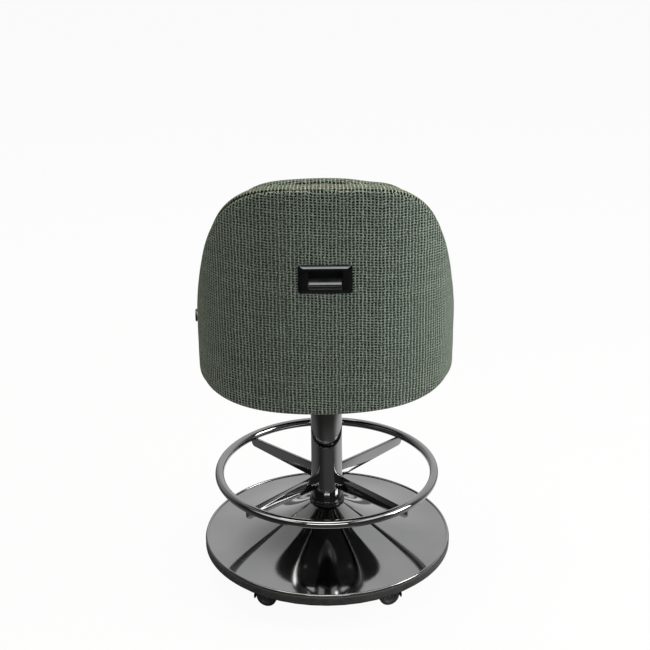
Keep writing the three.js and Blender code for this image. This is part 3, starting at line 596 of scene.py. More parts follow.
def lay_across(piece, side):
    """Turns a lathe piece from the column's axis on to the caster's axle."""
    turn = Matrix.Rotation(math.radians(90) * side, 4, "Y")
    place = Matrix.Translation((0, caster_circle + caster_trail, wheel_radius))
    piece.data.transform(place @ turn)


hood_inner = wheel_radius + hood_gap
hood_outer = hood_inner + hood_wall
hood_half = wheel_gap + wheel_width + hood_side_gap
hood = drum(hood_outer, -hood_half, hood_half)
bpy.ops.object.mode_set(mode="EDIT")
bpy.ops.mesh.select_all(action="SELECT")
bpy.ops.mesh.bisect(
    plane_co=(0, caster_circle + caster_trail, wheel_radius - hood_cut_drop),
    plane_no=(0, -math.sin(hood_front) / 2, -1), clear_outer=True, use_fill=True)
bpy.ops.object.mode_set(mode="OBJECT")
cut_away(hood, drum(web_radius, -hood_half / 2, hood_half / 2), "UNION")
for side in (-1, 1):
    room_low, room_high = sorted((side * (wheel_gap - hood_side_gap), side * (hood_half + hood_gap)))
    cut_away(hood, drum(hood_inner, room_low, room_high))
rounded_edges(hood, hood_edge, 2, 35)
hood.name = "caster_hood"

stem_low = wheel_radius + math.sqrt(hood_inner ** 2 - caster_trail ** 2) + hood_wall / 2
flange_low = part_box("caster_1_socket")[0].z
outline = [(lathe_axis, stem_low), (stem_collar, stem_low)]
outline += arc((stem_collar - stem_edge, flange_low - seat_gap - stem_edge), stem_edge, 0, 90, 3)
outline += [(stem_radius, flange_low - seat_gap), (stem_radius, stem_top - stem_point)]
outline += [(stem_radius - stem_point, stem_top), (lathe_axis, stem_top), outline[0]]
stem = turn_on_lathe("caster_stem", outline, 40)
stem.data.transform(Matrix.Translation((0, caster_circle, 0)))

low, high = wheel_gap, wheel_gap + wheel_width
outline = [(axle_radius + seat_gap, low), (wheel_radius - wheel_chamfer, low)]
outline += [(wheel_radius, low + wheel_chamfer)]
outline += arc((wheel_radius - wheel_shoulder, high - wheel_shoulder), wheel_shoulder, 0, 90, 6)
outline += [(hub_radius + hub_edge, high), (hub_radius, high - hub_edge)]
outline += [(hub_radius - hub_dish, high - hub_dish)]
outline += [(axle_radius + hub_boss, high - hub_dish * hub_boss_share)]
outline += [(axle_radius + seat_gap, high - hub_dish * hub_boss_share), outline[0]]
wheel = turn_on_lathe("caster_wheel", outline, 72)
axle_end = high - hub_dish * axle_end_share
outline = [(lathe_axis, -axle_end), (axle_radius, -axle_end)]
outline += [(axle_radius, axle_end), (lathe_axis, axle_end), outline[0]]
axle = turn_on_lathe("caster_axle", outline, 32)
lay_across(axle, 1)

steel, tree, shader = new_material("bare_steel", (0.42, 0.425, 0.43), 0.34, 1.0)
lathe_marks = speckle(tree, 220, 4, (1, 1, 5))
vary_finish(
    tree, shader, lathe_marks, (0.26, 0.44), speckle(tree, 40, 4),
    ((0.36, 0.36, 0.37), (0.47, 0.47, 0.475)))
bump_from(tree, shader, lathe_marks, 0.00004, 0.5)

caster_turns = [-72, 72, 72, 72, -72]
first_caster = 36


def stand_caster(piece, name, i):
    """A copy of a caster's piece, turned about its stem, in its place round the base."""
    stem_place = Matrix.Translation((0, caster_circle, 0))
    turn = Matrix.Rotation(-math.radians(caster_turns[i]), 4, "Z")
    heading = Matrix.Rotation(math.radians(first_caster - 360 / caster_count * i), 4, "Z")
    twin = copy_turned(piece, name, 0)
    twin.data.transform(heading @ stem_place @ turn @ stem_place.inverted())
    return twin


tyres = {}
for hand, side in (("left", -1), ("right", 1)):
    tyres[hand] = copy_turned(wheel, f"caster_wheel_{hand}", 0)
    lay_across(tyres[hand], side)
for i in range(caster_count):
    label = f"caster_{i + 1}"
    moulded = stand_caster(hood, f"{label}_moulded_hood", i)
    settle(moulded, label, black_plastic, "black_plastic", f"{label}_hood")
    settle(stand_caster(stem, f"{label}_stem", i), label, steel, "steel")
    pin = stand_caster(axle, f"{label}_axle_pin", i)
    settle(pin, f"{label}_wheels", steel, "steel", f"{label}_axle")
    for hand, pattern in tyres.items():
        tyre = stand_caster(pattern, f"{label}_tyre_{hand}", i)
        settle(tyre, f"{label}_wheels", black_rubber, "black_rubber", f"{label}_wheel_{hand}")
for pattern in (hood, stem, wheel, axle, *tyres.values()):
    bpy.data.objects.remove(pattern)

# Seat frame: the swivel's turned steel, the pressed channels and bolts and the cut plywood are
# bought or sawn parts. Their CAD solids have the right shape, so they keep it and get a finish.
cast_iron, tree, shader = new_material("cast_iron", (0.03, 0.03, 0.031), 0.7, 0.3)
sand = speckle(tree, 260, 5)
vary_finish(
    tree, shader, sand, (0.6, 0.85), speckle(tree, 18, 5),
    ((0.022, 0.022, 0.023), (0.05, 0.045, 0.042)))
bump_from(tree, shader, sand, 0.0006, 0.7)

bronze, tree, shader = new_material("bush_bronze", (0.42, 0.27, 0.10), 0.38, 1.0)
vary_finish(
    tree, shader, speckle(tree, 120, 4), (0.3, 0.5), speckle(tree, 60, 3),
    ((0.36, 0.22, 0.08), (0.47, 0.31, 0.13)))

plywood, tree, shader = new_material("birch_plywood", (0.55, 0.38, 0.2), 0.6)
figure = speckle(tree, 14, 6, (1, 9, 1))
plies = speckle(tree, 2.0, 1, (1, 1, 260))
shade = spread_colour(tree, figure, (0.46, 0.30, 0.15), (0.62, 0.44, 0.25))
tint = tree.nodes.new("ShaderNodeMix")
tint.data_type = "RGBA"
tint.blend_type = "MULTIPLY"
tint.inputs["Factor"].default_value = 0.5
link_nodes(tree, [
    (shade, tint.inputs["A"]),
    (spread_colour(tree, plies, (0.6, 0.5, 0.4), (1, 1, 1)), tint.inputs["B"]),
    (tint.outputs["Result"], shader.inputs["Base Color"]),
    (spread_value(tree, figure, 0.5, 0.7), shader.inputs["Roughness"]),
])
bump_from(tree, shader, figure, 0.0002, 0.5)

black_stain, tree, shader = new_material("black_stained_plywood", (0.012, 0.012, 0.013), 0.62)
figure = speckle(tree, 14, 6, (1, 9, 1))
vary_finish(tree, shader, figure, (0.5, 0.75), figure, ((0.007, 0.007, 0.008), (0.02, 0.019, 0.018)))
bump_from(tree, shader, figure, 0.0002, 0.5)

black_paint, tree, shader = new_material("black_painted_steel", (0.014, 0.014, 0.015), 0.42)
peel = speckle(tree, 160, 3)
vary_finish(
    tree, shader, peel, (0.34, 0.5), speckle(tree, 22, 4),
    ((0.010, 0.010, 0.011), (0.019, 0.019, 0.019)))
bump_from(tree, shader, peel, 0.00006, 0.5)

kept_finishes = {
    steel: ["column_foot", "thrust_washer", "seat_spindle", "spindle_clip", "side_cap_washer"]
    + [f"seat_bolt_{i}" for i in range(1, 5)]
    + [f"caster_{i}_socket" for i in range(1, 6)],
    black_paint: ["swivel_plate", "seat_rail_left", "seat_rail_right", "back_bracket"],
    black_stain: ["seat_pan"],
    cast_iron: ["ballast_weight"],
    bronze: ["swivel_bush_lower", "swivel_bush_upper"],
    plywood: ["back_shell"],
}
for finish, names in kept_finishes.items():
    for name in names:
        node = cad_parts[name]
        node.data.materials.clear()
        node.data.materials.append(finish)

# Cloth: a heavy, open weave of grey-green yarn, 6.8 mm from yarn to yarn across and 5.2 mm up,
# so coarse that the gaps between the yarns show. Their dark colour, which also creeps over yarns
# where they lie low, is partly the backing seen through and partly painted shade. It follows the
# map "cloth", which holds metres along the weft and the warp of each cut panel.
warp_pitch = 0.0068
weft_pitch = 0.0052
warp_half_share = 0.215
weft_half_share = 0.225
column_shift_share = 0.35
warp_top_share, warp_dip_share = 0.86, 0.14
weft_top_share, weft_dip_share = 0.8, 0.16
yarn_wander, wander_scale = 0.004, 55
yarn_shiver, shiver_scale = 0.0022, 260
fibre_scale, clump_scale, fuzz_scale = 1300, 300, 170
gap_fill_shares = (0.38, 0.84)
fuzz_shares = (0.5, 0.72)
fuzz_fill_share = 0.3
clump_shares = (0.3, 0.7)
tone_low_share, tone_yarn_share, tone_fibre_share, tone_clump_share = 0.1, 0.2, 0.4, 0.55
fibre_height_share = 0.25
# Painted shade: how far from the seam, in metres, the dark line painted in the seam's crease reaches.
seam_shade_near, seam_shade_far = 0.0008, 0.0021
crease_open_run, crease_full_run = -0.16, 0.04
yarn_height = 0.0012
gap_backing_and_shade = (0.001, 0.002, 0.002)


def noise_on(tree, vector, scale, detail):
    """Noise on the cloth's own map, at so many blobs to the metre."""
    grain = tree.nodes.new("ShaderNodeTexNoise")
    grain.inputs["Scale"].default_value = scale
    grain.inputs["Detail"].default_value = detail
    tree.links.new(vector, grain.inputs["Vector"])
    return grain


def nudge(tree, place, scale, reach):
    """Moves a place on the cloth by slow noise, as hand-pulled yarns wander."""
    wander = noise_on(tree, place, scale, 2)
    move = tree.nodes.new("ShaderNodeVectorMath")
    move.operation = "MULTIPLY_ADD"
    move.inputs[1].default_value = (reach, reach, 0)
    link_nodes(tree, [(wander.outputs["Color"], move.inputs[0]), (place, move.inputs[2])])
    return move.outputs[0]


def yarn_tone(tree, row, seed):
    """A steady random number for each yarn, by the number of its row."""
    whole = add_math(tree, "FLOOR", row)
    dice = tree.nodes.new("ShaderNodeTexWhiteNoise")
    dice.noise_dimensions = "1D"
    tree.links.new(add_math(tree, "ADD", whole, seed), dice.inputs["W"])
    return dice.outputs["Value"]


def yarn_round(tree, row, half_share):
    """Height of round yarns across their rows: 1 along the middle of each, 0 in the gaps."""
    off = add_math(tree, "ABSOLUTE", add_math(tree, "SUBTRACT", add_math(tree, "FRACT", row), 0.5))
    side = add_math(tree, "DIVIDE", off, half_share)
    left = add_math(tree, "SUBTRACT", 1.0, add_math(tree, "MULTIPLY", side, side), clamp=True)
    return add_math(tree, "SQRT", left)


def weave_cloth(name, light, sheen_weight, sheen_tint, painted_seam_shade_share=0.0):
    """The upholstery cloth: yarns that pass over and under each other, with gaps between.

    Where the map starts at a seam, a dark line of painted shade is laid in its crease on the cap's
    side.
    """
    material, tree, shader = new_material(name, light, 0.92)
    chart = tree.nodes.new("ShaderNodeUVMap")
    chart.uv_map = "cloth"
    place = nudge(tree, chart.outputs[0], wander_scale, yarn_wander)
    place = nudge(tree, place, shiver_scale, yarn_shiver)
    split = tree.nodes.new("ShaderNodeSeparateXYZ")
    tree.links.new(place, split.inputs[0])
    across = add_math(tree, "DIVIDE", split.outputs["X"], warp_pitch)
    up = add_math(tree, "DIVIDE", split.outputs["Y"], weft_pitch)
    up = add_math(tree, "MULTIPLY_ADD", yarn_tone(tree, across, 7.0), column_shift_share, up)
    across_wave = add_math(tree, "SINE", add_math(tree, "MULTIPLY", across, math.pi))
    up_wave = add_math(tree, "SINE", add_math(tree, "MULTIPLY", up, math.pi))
    crossing = add_math(tree, "MULTIPLY", across_wave, up_wave)
    warp_lift = add_math(tree, "MULTIPLY_ADD", crossing, warp_dip_share, warp_top_share)
    weft_lift = add_math(tree, "MULTIPLY_ADD", crossing, -weft_dip_share, weft_top_share)
    warp_top = add_math(tree, "MULTIPLY", yarn_round(tree, across, warp_half_share), warp_lift)
    weft_top = add_math(tree, "MULTIPLY", yarn_round(tree, up, weft_half_share), weft_lift)
    height = add_math(tree, "MAXIMUM", warp_top, weft_top)
    fibres = noise_on(tree, chart.outputs[0], fibre_scale, 3).outputs["Fac"]
    clumps = noise_on(tree, chart.outputs[0], clump_scale, 1).outputs["Fac"]
    clumps = between(tree, clumps, *clump_shares)
    fuzz = between(tree, noise_on(tree, place, fuzz_scale, 1).outputs["Fac"], *fuzz_shares)
    tones = tree.nodes.new("ShaderNodeMix")
    link_nodes(tree, [
        (add_math(tree, "GREATER_THAN", warp_top, weft_top), tones.inputs["Factor"]),
        (yarn_tone(tree, up, 11.0), tones.inputs["A"]),
        (yarn_tone(tree, across, 53.0), tones.inputs["B"]),
    ])
    tone = add_math(tree, "MULTIPLY_ADD", tones.outputs["Result"], tone_yarn_share, tone_low_share)
    tone = add_math(tree, "MULTIPLY_ADD", fibres, tone_fibre_share, tone)
    tone = add_math(tree, "MULTIPLY_ADD", clumps, tone_clump_share, tone)
    # Partly painted shade: the colour darkens as the yarns' height falls, into the gaps and where a
    # yarn dips under another.
    filled = between(tree, height, *gap_fill_shares)
    filled = add_math(tree, "MAXIMUM", filled, add_math(tree, "MULTIPLY", fuzz, fuzz_fill_share))
    bright = add_math(tree, "MULTIPLY", filled, tone, clamp=True)
    # Painted shade: a dark line is painted into the crease along the seam where the map starts. It is
    # full on the cap's side and fades out on the other.
    if painted_seam_shade_share:
        flat = tree.nodes.new("ShaderNodeSeparateXYZ")
        tree.links.new(chart.outputs[0], flat.inputs[0])
        seam_shade = between(tree, flat.outputs["Y"], seam_shade_near, seam_shade_far)
        seam_shade = add_math(tree, "SUBTRACT", 1.0, seam_shade)
        side = between(tree, flat.outputs["X"], crease_open_run, crease_full_run)
        seam_shade = add_math(tree, "MULTIPLY", seam_shade, side)
        unshaded_share = add_math(tree, "MULTIPLY_ADD", seam_shade, -painted_seam_shade_share, 1.0)
        bright = add_math(tree, "MULTIPLY", bright, unshaded_share)
    ramp = tree.nodes.new("ShaderNodeValToRGB")
    ramp.color_ramp.elements[0].color = (*gap_backing_and_shade, 1)
    ramp.color_ramp.elements[1].color = (*light, 1)
    link_nodes(tree, [
        (bright, ramp.inputs["Fac"]),
        (ramp.outputs["Color"], shader.inputs["Base Color"]),
    ])
    shader.inputs["Sheen Weight"].default_value = sheen_weight
    shader.inputs["Sheen Roughness"].default_value = 0.5
    shader.inputs["Sheen Tint"].default_value = (*sheen_tint, 1)
    shader.inputs["Specular IOR Level"].default_value = 0.15
    relief = add_math(tree, "MULTIPLY_ADD", fibres, fibre_height_share, height)
    bump_from(tree, shader, relief, yarn_height, 0.8)
    return material


green_cloth = weave_cloth("green_upholstery", (0.37, 0.455, 0.39), 0.1, (0.85, 0.85, 0.55))
# The boxing's copy of the same cloth is lighter and yellower as painted light, for a strip that faces
# the warm lamp above. It also carries the painted seam shade.
boxing_cloth_painted_lit = weave_cloth("green_boxing_painted_lit", (0.465, 0.53, 0.43), 0.12, (0.88, 0.86, 0.55), 0.97)

# Tub back: three cloth panels pulled over foam on a bent plywood tub. The plan is one rounded
# curve round the column. Each panel is drawn flat, in metres of run along that curve and of
# height, and is then bent round it, as the cloth is cut flat and then pulled round the foam.
seat_half_width = 0.249
seat_half_depth = 0.250
plan_power = 2.9
back_top = 0.918
back_bottom = 0.476
arm_top = 0.610
arm_reach = 0.045
arm_corner = 0.022
seam_fall_run = 0.378
seam_fall_power = 2.0
hem_rise = 0.025
hem_rise_run = 0.273
hem_rise_power = 1.8
tuck_in = 0.004
tuck_height = 0.100
tuck_power = 1.6
tuck_side_share = 0.1
rear_pad_middle, rear_pad_arm = 0.018, 0.008
shell_thickness = 0.009
boxing_middle, boxing_arm = 0.036, 0.022
tub_middle, tub_arm = 0.068, 0.036
cloth_slant_share = 0.06
hem_tilt_share = 0.012
seam_soft_share = 0.3
upright_share = 0.35
arm_foot_gap = 0.004

plan_turns = np.linspace(0, math.pi, 2881)
plan_x = seat_half_width * np.abs(np.sin(plan_turns)) ** (2 / plan_power)
plan_y = seat_half_depth * np.sign(np.cos(plan_turns)) * np.abs(np.cos(plan_turns)) ** (2 / plan_power)
plan_run = np.concatenate([[0], np.cumsum(np.hypot(np.diff(plan_x), np.diff(plan_y)))])
quarter_run = plan_run[len(plan_run) // 2]
half_run = plan_run[-1]
tub_reach = quarter_run + arm_reach


def plan_place(run, inset, z):
    """Points at the given runs along the plan, drawn in by an inset."""
    run, inset, z = np.broadcast_arrays(run, inset, z)
    x = np.interp(np.abs(run), plan_run, plan_x)
    y = np.interp(np.abs(run), plan_run, plan_y)
    out_x = (x / seat_half_width) ** (plan_power - 1) / seat_half_width
    out_y = np.sign(y) * np.abs(y / seat_half_depth) ** (plan_power - 1) / seat_half_depth
    size = np.hypot(out_x, out_y)
    side = np.where(run < 0, -1, 1)
    return np.stack([side * (x - inset * out_x / size), y - inset * out_y / size, z], axis=-1)


def tuck(run, z):
    """How far the back leans in below its knee."""
    depth = np.clip((back_bottom + tuck_height - z) / tuck_height, 0, None)
    across = np.cos(math.pi / 2 * np.clip(np.abs(run) / quarter_run, 0, 1))
    return tuck_in * depth ** tuck_power * (tuck_side_share + (1 - tuck_side_share) * across)


def tub_place(run, inset, z):
    """Points of the tub: like those of the plan, but tucked in below the knee."""
    return plan_place(run, inset + tuck(run, z), z)


def seam_height(run):
    """Height of the seam that runs over the top of the back and down to the arms."""
    length = np.abs(run)
    fall = np.clip(length / seam_fall_run, 0, 1) ** seam_fall_power
    arch = arm_top + (back_top - arm_top) * (1 + np.cos(math.pi * fall)) / 2
    past = np.clip((length - (tub_reach - arm_corner)) / arm_corner, 0, 1)
    return arch - arm_corner * (1 - np.sqrt(1 - past * past))


def hem_height(run):
    """Height of the lower edge, which hangs a little lower on the cap's side."""
    rise = hem_rise * np.clip(np.abs(run) / hem_rise_run, 0, 1) ** hem_rise_power
    return back_bottom + rise - hem_tilt_share * np.clip(run, -hem_rise_run, hem_rise_run)


def ease(share):
    """A share from 0 to 1, with a soft start and a soft end."""
    share = np.clip(share, 0, 1)
    return share * share * (3 - 2 * share)


def taper(run, middle, arm):
    """A size that changes from its value at the middle of the back to its value at the arms."""
    return middle + (arm - middle) * ease(np.abs(run) / seam_fall_run)


def seam_depth(run):
    """How hard the rear seam is pulled in: hard on the cap's side, softly on the other."""
    share = ease((run - crease_open_run) / (crease_full_run - crease_open_run))
    return seam_soft_share + (1 - seam_soft_share) * share


def spaced_ends(reach, count, end, end_count):
    """Runs from one arm to the other, closer together near both ends."""
    inner = np.linspace(-(reach - end), reach - end, count)
    edge = reach - end + end * np.sin(np.linspace(0, math.pi / 2, end_count + 1)[1:])
    return np.concatenate([-edge[::-1], inner, edge])


def soft_waves(points, size, seed):
    """Slow hills and hollows of hand-pulled cloth over foam, about 1 high."""
    flat = points.reshape(-1, 3)
    waves = [noise.noise(Vector(p) / size + Vector((seed, seed * 2, 0))) for p in flat.tolist()]
    return np.array(waves).reshape(points.shape[:-1])


def bent_grid(name, points):
    """A grid drawn flat, then bent so that its points lie in the given rows."""
    rows, columns = points.shape[:2]
    bpy.ops.object.select_all(action="DESELECT")
    bpy.ops.mesh.primitive_grid_add(x_subdivisions=columns - 1, y_subdivisions=rows - 1, size=1)
    grid = bpy.context.object
    grid.name = name
    grid.data.vertices.foreach_set("co", points.reshape(-1, 3).astype(np.float32).ravel())
    grid.data.update()
    return grid


def cloth_panel(name, points, chart):
    """A panel of cloth, with the map of its weave."""
    panel = bent_grid(name, points)
    panel.data.uv_layers[0].name = "cloth"
    corners = np.zeros(len(panel.data.loops), np.int32)
    panel.data.loops.foreach_get("vertex_index", corners)
    places = chart.reshape(-1, 2)[corners].astype(np.float32)
    panel.data.uv_layers["cloth"].data.foreach_set("uv", places.ravel())
    bpy.ops.object.shade_smooth()
    return panel


def back_it(panel, thickness):
    """Gives a panel its foam, so that it is a closed piece with its cloth outside."""
    foam = panel.modifiers.new("foam", "SOLIDIFY")
    foam.thickness = thickness
    foam.offset = -1
    bpy.context.view_layer.objects.active = panel
    bpy.ops.object.modifier_apply(modifier="foam")


# The seam's path in run and height: up the front of one arm, over the back and down the other.
top_run = spaced_ends(tub_reach, 241, arm_corner, 20)
top_z = seam_height(top_run)
arm_foot = float(hem_height(tub_reach)) + arm_foot_gap
drop = np.linspace(top_z[-1], arm_foot, 26)[1:]
path_run = np.concatenate([np.full(len(drop), -tub_reach), top_run, np.full(len(drop), tub_reach)])
path_z = np.concatenate([drop[::-1], top_z, drop])
along = np.concatenate([[0], np.cumsum(np.hypot(np.diff(path_run), np.diff(path_z)))])
along -= along[-1] / 2
tangent = np.stack([np.gradient(path_run, along), np.gradient(path_z, along)])
tangent /= np.hypot(*tangent)
outward_run, outward_z = -tangent[1], tangent[0]
over_top = ease(outward_z / upright_share)


def seam_distance(run, z):
    """How far a point of the flat panel is from the line of its seam."""
    nearest = np.full(run.shape, 1.0)
    spots = np.stack([path_run, path_z], axis=-1)
    for start, end in zip(spots[:-1], spots[1:]):
        step = end - start
        off_run, off_z = run - start[0], z - start[1]
        share = np.clip((off_run * step[0] + off_z * step[1]) / (step @ step), 0, 1)
        off = np.hypot(off_run - share * step[0], off_z - share * step[1])
        nearest = np.minimum(nearest, off)
    return nearest


def roll_in(distance, reach):
    """0 on the face of a pad, 1 at its seam, with a round shoulder between."""
    share = np.clip(1 - distance / reach, 0, 1)
    return 1 - np.sqrt(1 - share * share)


# Rear pad: thin foam under one wide panel, turned in at the seam, rolled under the hem and
# stapled to the lower edge of the plywood. A hole is cut for the pull handle's cup.
rear_roll = 0.006
rear_turn_in = 0.006
hem_roll = 0.008
hem_slope = 0.0025
arm_roll_share = 0.6
slow_wave_size, slow_wave_height = 0.11, 0.0008
quick_wave_size, quick_wave_height = 0.035, 0.0003
rear_foam = 0.004
hole_half_width = 0.036
hole_low, hole_high = -0.0205, 0.0255
hole_reach = 0.05
handle_height = sum(corner.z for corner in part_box("handle_bezel")) / 2

run_line = spaced_ends(tub_reach, 281, rear_roll, 7)
hem_line, seam_line = hem_height(run_line), seam_height(run_line)
roll_line = taper(run_line, hem_roll, hem_roll * arm_roll_share)
turned_under = taper(run_line, rear_pad_middle, rear_pad_arm) + shell_thickness
z_rows, inset_rows = [], []
for share in np.linspace(1, 0, 6)[:-1]:
    z_rows.append(hem_line + hem_slope * share)
    inset_rows.append(roll_line + (turned_under - roll_line) * share)
for turn in np.radians(np.linspace(90, 0, 10)):
    z_rows.append(hem_line + roll_line * (1 - np.sin(turn)))
    inset_rows.append(roll_line * (1 - np.cos(turn)))
low_line, high_line = hem_line + roll_line, seam_line - rear_roll
for share in np.linspace(0, 1, 116)[1:]:
    z_rows.append(low_line + (high_line - low_line) * share)
for turn in np.radians(np.linspace(0, 90, 10))[1:]:
    z_rows.append(seam_line - rear_roll * (1 - np.sin(turn)))
z_grid = np.array(z_rows)
run_grid = np.broadcast_to(run_line, z_grid.shape)
hem_inset = np.zeros_like(z_grid)
hem_inset[:len(inset_rows)] = inset_rows
inset = rear_turn_in * seam_depth(run_line) * roll_in(seam_distance(run_grid, z_grid), rear_roll)
still = tub_place(run_grid, 0, z_grid)
ripple = soft_waves(still, slow_wave_size, 3.0) * slow_wave_height
ripple += soft_waves(still, quick_wave_size, 8.0) * quick_wave_height
points = tub_place(run_grid, inset + hem_inset + ripple, z_grid)
chart = np.stack([run_grid, z_grid - hem_inset - cloth_slant_share * run_grid], axis=-1)
rear_pad = cloth_panel("back_rear_panel", points[:, ::-1], chart[:, ::-1])
bpy.ops.object.mode_set(mode="EDIT")
bpy.ops.mesh.select_mode(type="FACE")
bpy.ops.mesh.select_all(action="DESELECT")
bpy.ops.object.mode_set(mode="OBJECT")
for face in rear_pad.data.polygons:
    off = face.center - Vector((0, seat_half_depth, handle_height))
    in_width = abs(off.x) < hole_half_width
    face.select = in_width and hole_low < off.z < hole_high and off.y > -hole_reach
bpy.ops.object.mode_set(mode="EDIT")
bpy.ops.mesh.delete(type="FACE")
bpy.ops.mesh.select_mode(type="VERT")
bpy.ops.object.mode_set(mode="OBJECT")
back_it(rear_pad, rear_foam)
settle(rear_pad, "seat", green_cloth, "green_fabric", "back_rear_pad")

# Boxing: a strip that follows the seam over the back and down the front of both arms. It is
# padded a little, so it stands up between its two seams, but lies flat beside the cushion.
boxing_crown = 0.0035
boxing_shoulder = 0.004
shoulder_run = 0.19
shoulder_spread = 0.08
boxing_front_crown = 0.0002
boxing_sink = 0.003
boxing_rear_sink = 0.004
boxing_start = 0.0015
boxing_turn_in = 0.0045
boxing_foam = 0.004
boxing_rows = 22

width = taper(path_run, boxing_middle, boxing_arm)
cross = -np.cos(np.linspace(0, math.pi, boxing_rows))
shoulder = np.exp(-((np.abs(path_run) - shoulder_run) / shoulder_spread) ** 2)
crown = boxing_crown + boxing_shoulder * shoulder
crown = boxing_front_crown + (crown - boxing_front_crown) * over_top
rise = (1 - np.abs(cross) ** 4) ** 0.5
rear_sink = boxing_rear_sink * seam_depth(path_run)
sink = np.where(cross[:, None] < 0, rear_sink[None, :], boxing_sink)
stand = -sink + (crown[None, :] + sink) * rise[:, None]
edge = boxing_start + boxing_turn_in * seam_depth(path_run)[None, :] * over_top[None, :]
across = edge + (width[None, :] - edge) * (cross[:, None] + 1) / 2
run_grid = path_run[None, :] + outward_run * stand
z_grid = path_z[None, :] + outward_z * stand
points = tub_place(run_grid, across, z_grid)
chart = np.stack([np.broadcast_to(along, across.shape), across - edge], axis=-1)
boxing = cloth_panel("back_boxing_strip", points[:, ::-1], chart[:, ::-1])
back_it(boxing, boxing_foam)
# Its cloth is the lighter copy, painted light from above, with painted shade along its rear seam.
settle(boxing, "seat", boxing_cloth_painted_lit, "green_fabric", "back_boxing")

# Front pad: thick foam on the inside of the tub. Its cloth is sewn to the boxing, rolls over a
# full crest, runs down behind the seat cushion and is turned under at the bottom.
front_roll = 0.024
front_roll_arm = 0.016
front_crown = 0.0065
front_crown_arm = 0.003
front_crown_down = -0.0005
crest_rise = 0.0014
crest_rise_spread = 0.05
crest_dip = 0.0032
crest_dip_run = -0.088
crest_dip_spread = 0.034
front_roll_share = 0.62
front_roll_end = math.radians(127.8)
front_foot_fade = 0.02
front_foot_share = 0.05
front_sink = 0.003
front_sink_fade = 0.002
front_wave_size, front_wave_height = 0.10, 0.0015
front_wave_gain = 6
front_bulge = 0.007
front_foam = 0.004
front_hem = 0.014
front_hem_arm = 0.001
swell_foot = 0.609
swell_top_gap = 0.022
swell_least = 0.02

far = taper(path_run, tub_middle, tub_arm)
near = taper(path_run, boxing_middle, boxing_arm)
reach_in = (far - near) * front_roll_share
foot = np.sqrt(np.clip((path_z - arm_foot) / front_foot_fade, front_foot_share, 1))
roll = taper(path_run, front_roll, front_roll_arm) * foot
crown = taper(path_run, front_crown, front_crown_arm)
crown = crown + crest_rise * np.exp(-(path_run / crest_rise_spread) ** 2)
crown -= crest_dip * np.exp(-((path_run - crest_dip_run) / crest_dip_spread) ** 2)
crown = front_crown_down + (crown - front_crown_down) * over_top
run_rows, z_rows, inset_rows, chart_rows = [], [], [], []
for turn in np.linspace(front_roll_end, 0, 20):
    sink = front_sink * math.exp(-(front_roll_end - turn) * front_roll / front_sink_fade)
    down = roll * (1 - math.sin(turn)) - crown + sink
    developed = turn * (reach_in + roll) / 2
    run_rows.append(path_run - outward_run * down)
    z_rows.append(path_z - outward_z * down)
    inset_rows.append(far - reach_in * (1 - math.cos(turn)))
    start = roll - crown - developed
    chart_rows.append([path_run - outward_run * start, path_z - outward_z * start])
edge_run, edge_z = run_rows[-1], z_rows[-1]
low_run = edge_run[-1] * along / along[-1]
low_z = hem_height(low_run) + taper(low_run, front_hem, front_hem_arm)
for share in np.linspace(0, 1, 50)[1:]:
    run_now = edge_run + (low_run - edge_run) * share
    z_now = edge_z + (low_z - edge_z) * share
    swell_height = np.maximum(seam_height(run_now) - swell_top_gap - swell_foot, swell_least)
    swell_share = np.clip((z_now - swell_foot) / swell_height, 0, 1)
    swell = taper(run_now, front_bulge, 0) * np.sin(math.pi * swell_share)
    far_now = taper(run_now, tub_middle, tub_arm)
    ripple = soft_waves(tub_place(run_now, far_now, z_now), front_wave_size, 15.0)
    ripple *= front_wave_height * min(1, share * front_wave_gain)
    run_rows.append(run_now)
    z_rows.append(z_now)
    inset_rows.append(far_now + swell + ripple)
    chart_rows.append([run_now, z_now])
far_low = taper(low_run, tub_middle, tub_arm)
near_low = taper(low_run, rear_pad_middle, rear_pad_arm) + shell_thickness
for share in np.linspace(0, 1, 7)[1:]:
    run_rows.append(low_run)
    z_rows.append(low_z)
    inset_rows.append(far_low + (near_low - far_low) * share)
    chart_rows.append([low_run, low_z - (far_low - near_low) * share])
points = tub_place(np.array(run_rows), np.array(inset_rows), np.array(z_rows))
chart = np.array(chart_rows).transpose(0, 2, 1)
front_pad = cloth_panel("back_front_panel", points[:, ::-1], chart[:, ::-1])
back_it(front_pad, front_foam)
settle(front_pad, "seat", green_cloth, "green_fabric", "back_front_pad")

# Pull handle: a moulded black bezel with sloped edges, pressed into the back over a deep cup.
# Its floor is a scoop that guides the fingers up behind the upper edge. Each ring of the bezel
# has a width, a height, a corner and a distance from the column.
bezel_edge = 0.0002
bezel_rings = [
    (0.098, 0.056, 0.005, 0.2460),
    (0.098, 0.056, 0.005, 0.2501),
    (0.0976, 0.0556, 0.0048, 0.2505),
    (0.0846, 0.0426, 0.0024, 0.2529),
    (0.0838, 0.0418, 0.002, 0.2530),
    (0.0646, 0.0366, 0.0053, 0.2530),
    (0.0630, 0.0350, 0.0045, 0.2526),
    (0.0620, 0.0340, 0.004, 0.2515),
    (0.0620, 0.0340, 0.004, 0.2460),
    (0.098, 0.056, 0.005, 0.2460),
]


def rounded_ring(width, low, high, corner, y):
    """A rounded rectangle that stands across the back, as a ring of points."""
    ring = []
    for i, (side, up) in enumerate([(1, 1), (-1, 1), (-1, -1), (1, -1)]):
        middle_x = side * (width / 2 - corner)
        middle_z = high - corner if up > 0 else low + corner
        for turn in np.radians(np.linspace(90 * i, 90 * i + 90, 8)):
            ring.append((middle_x + corner * math.cos(turn), y, middle_z + corner * math.sin(turn)))
    return ring + ring[:1]


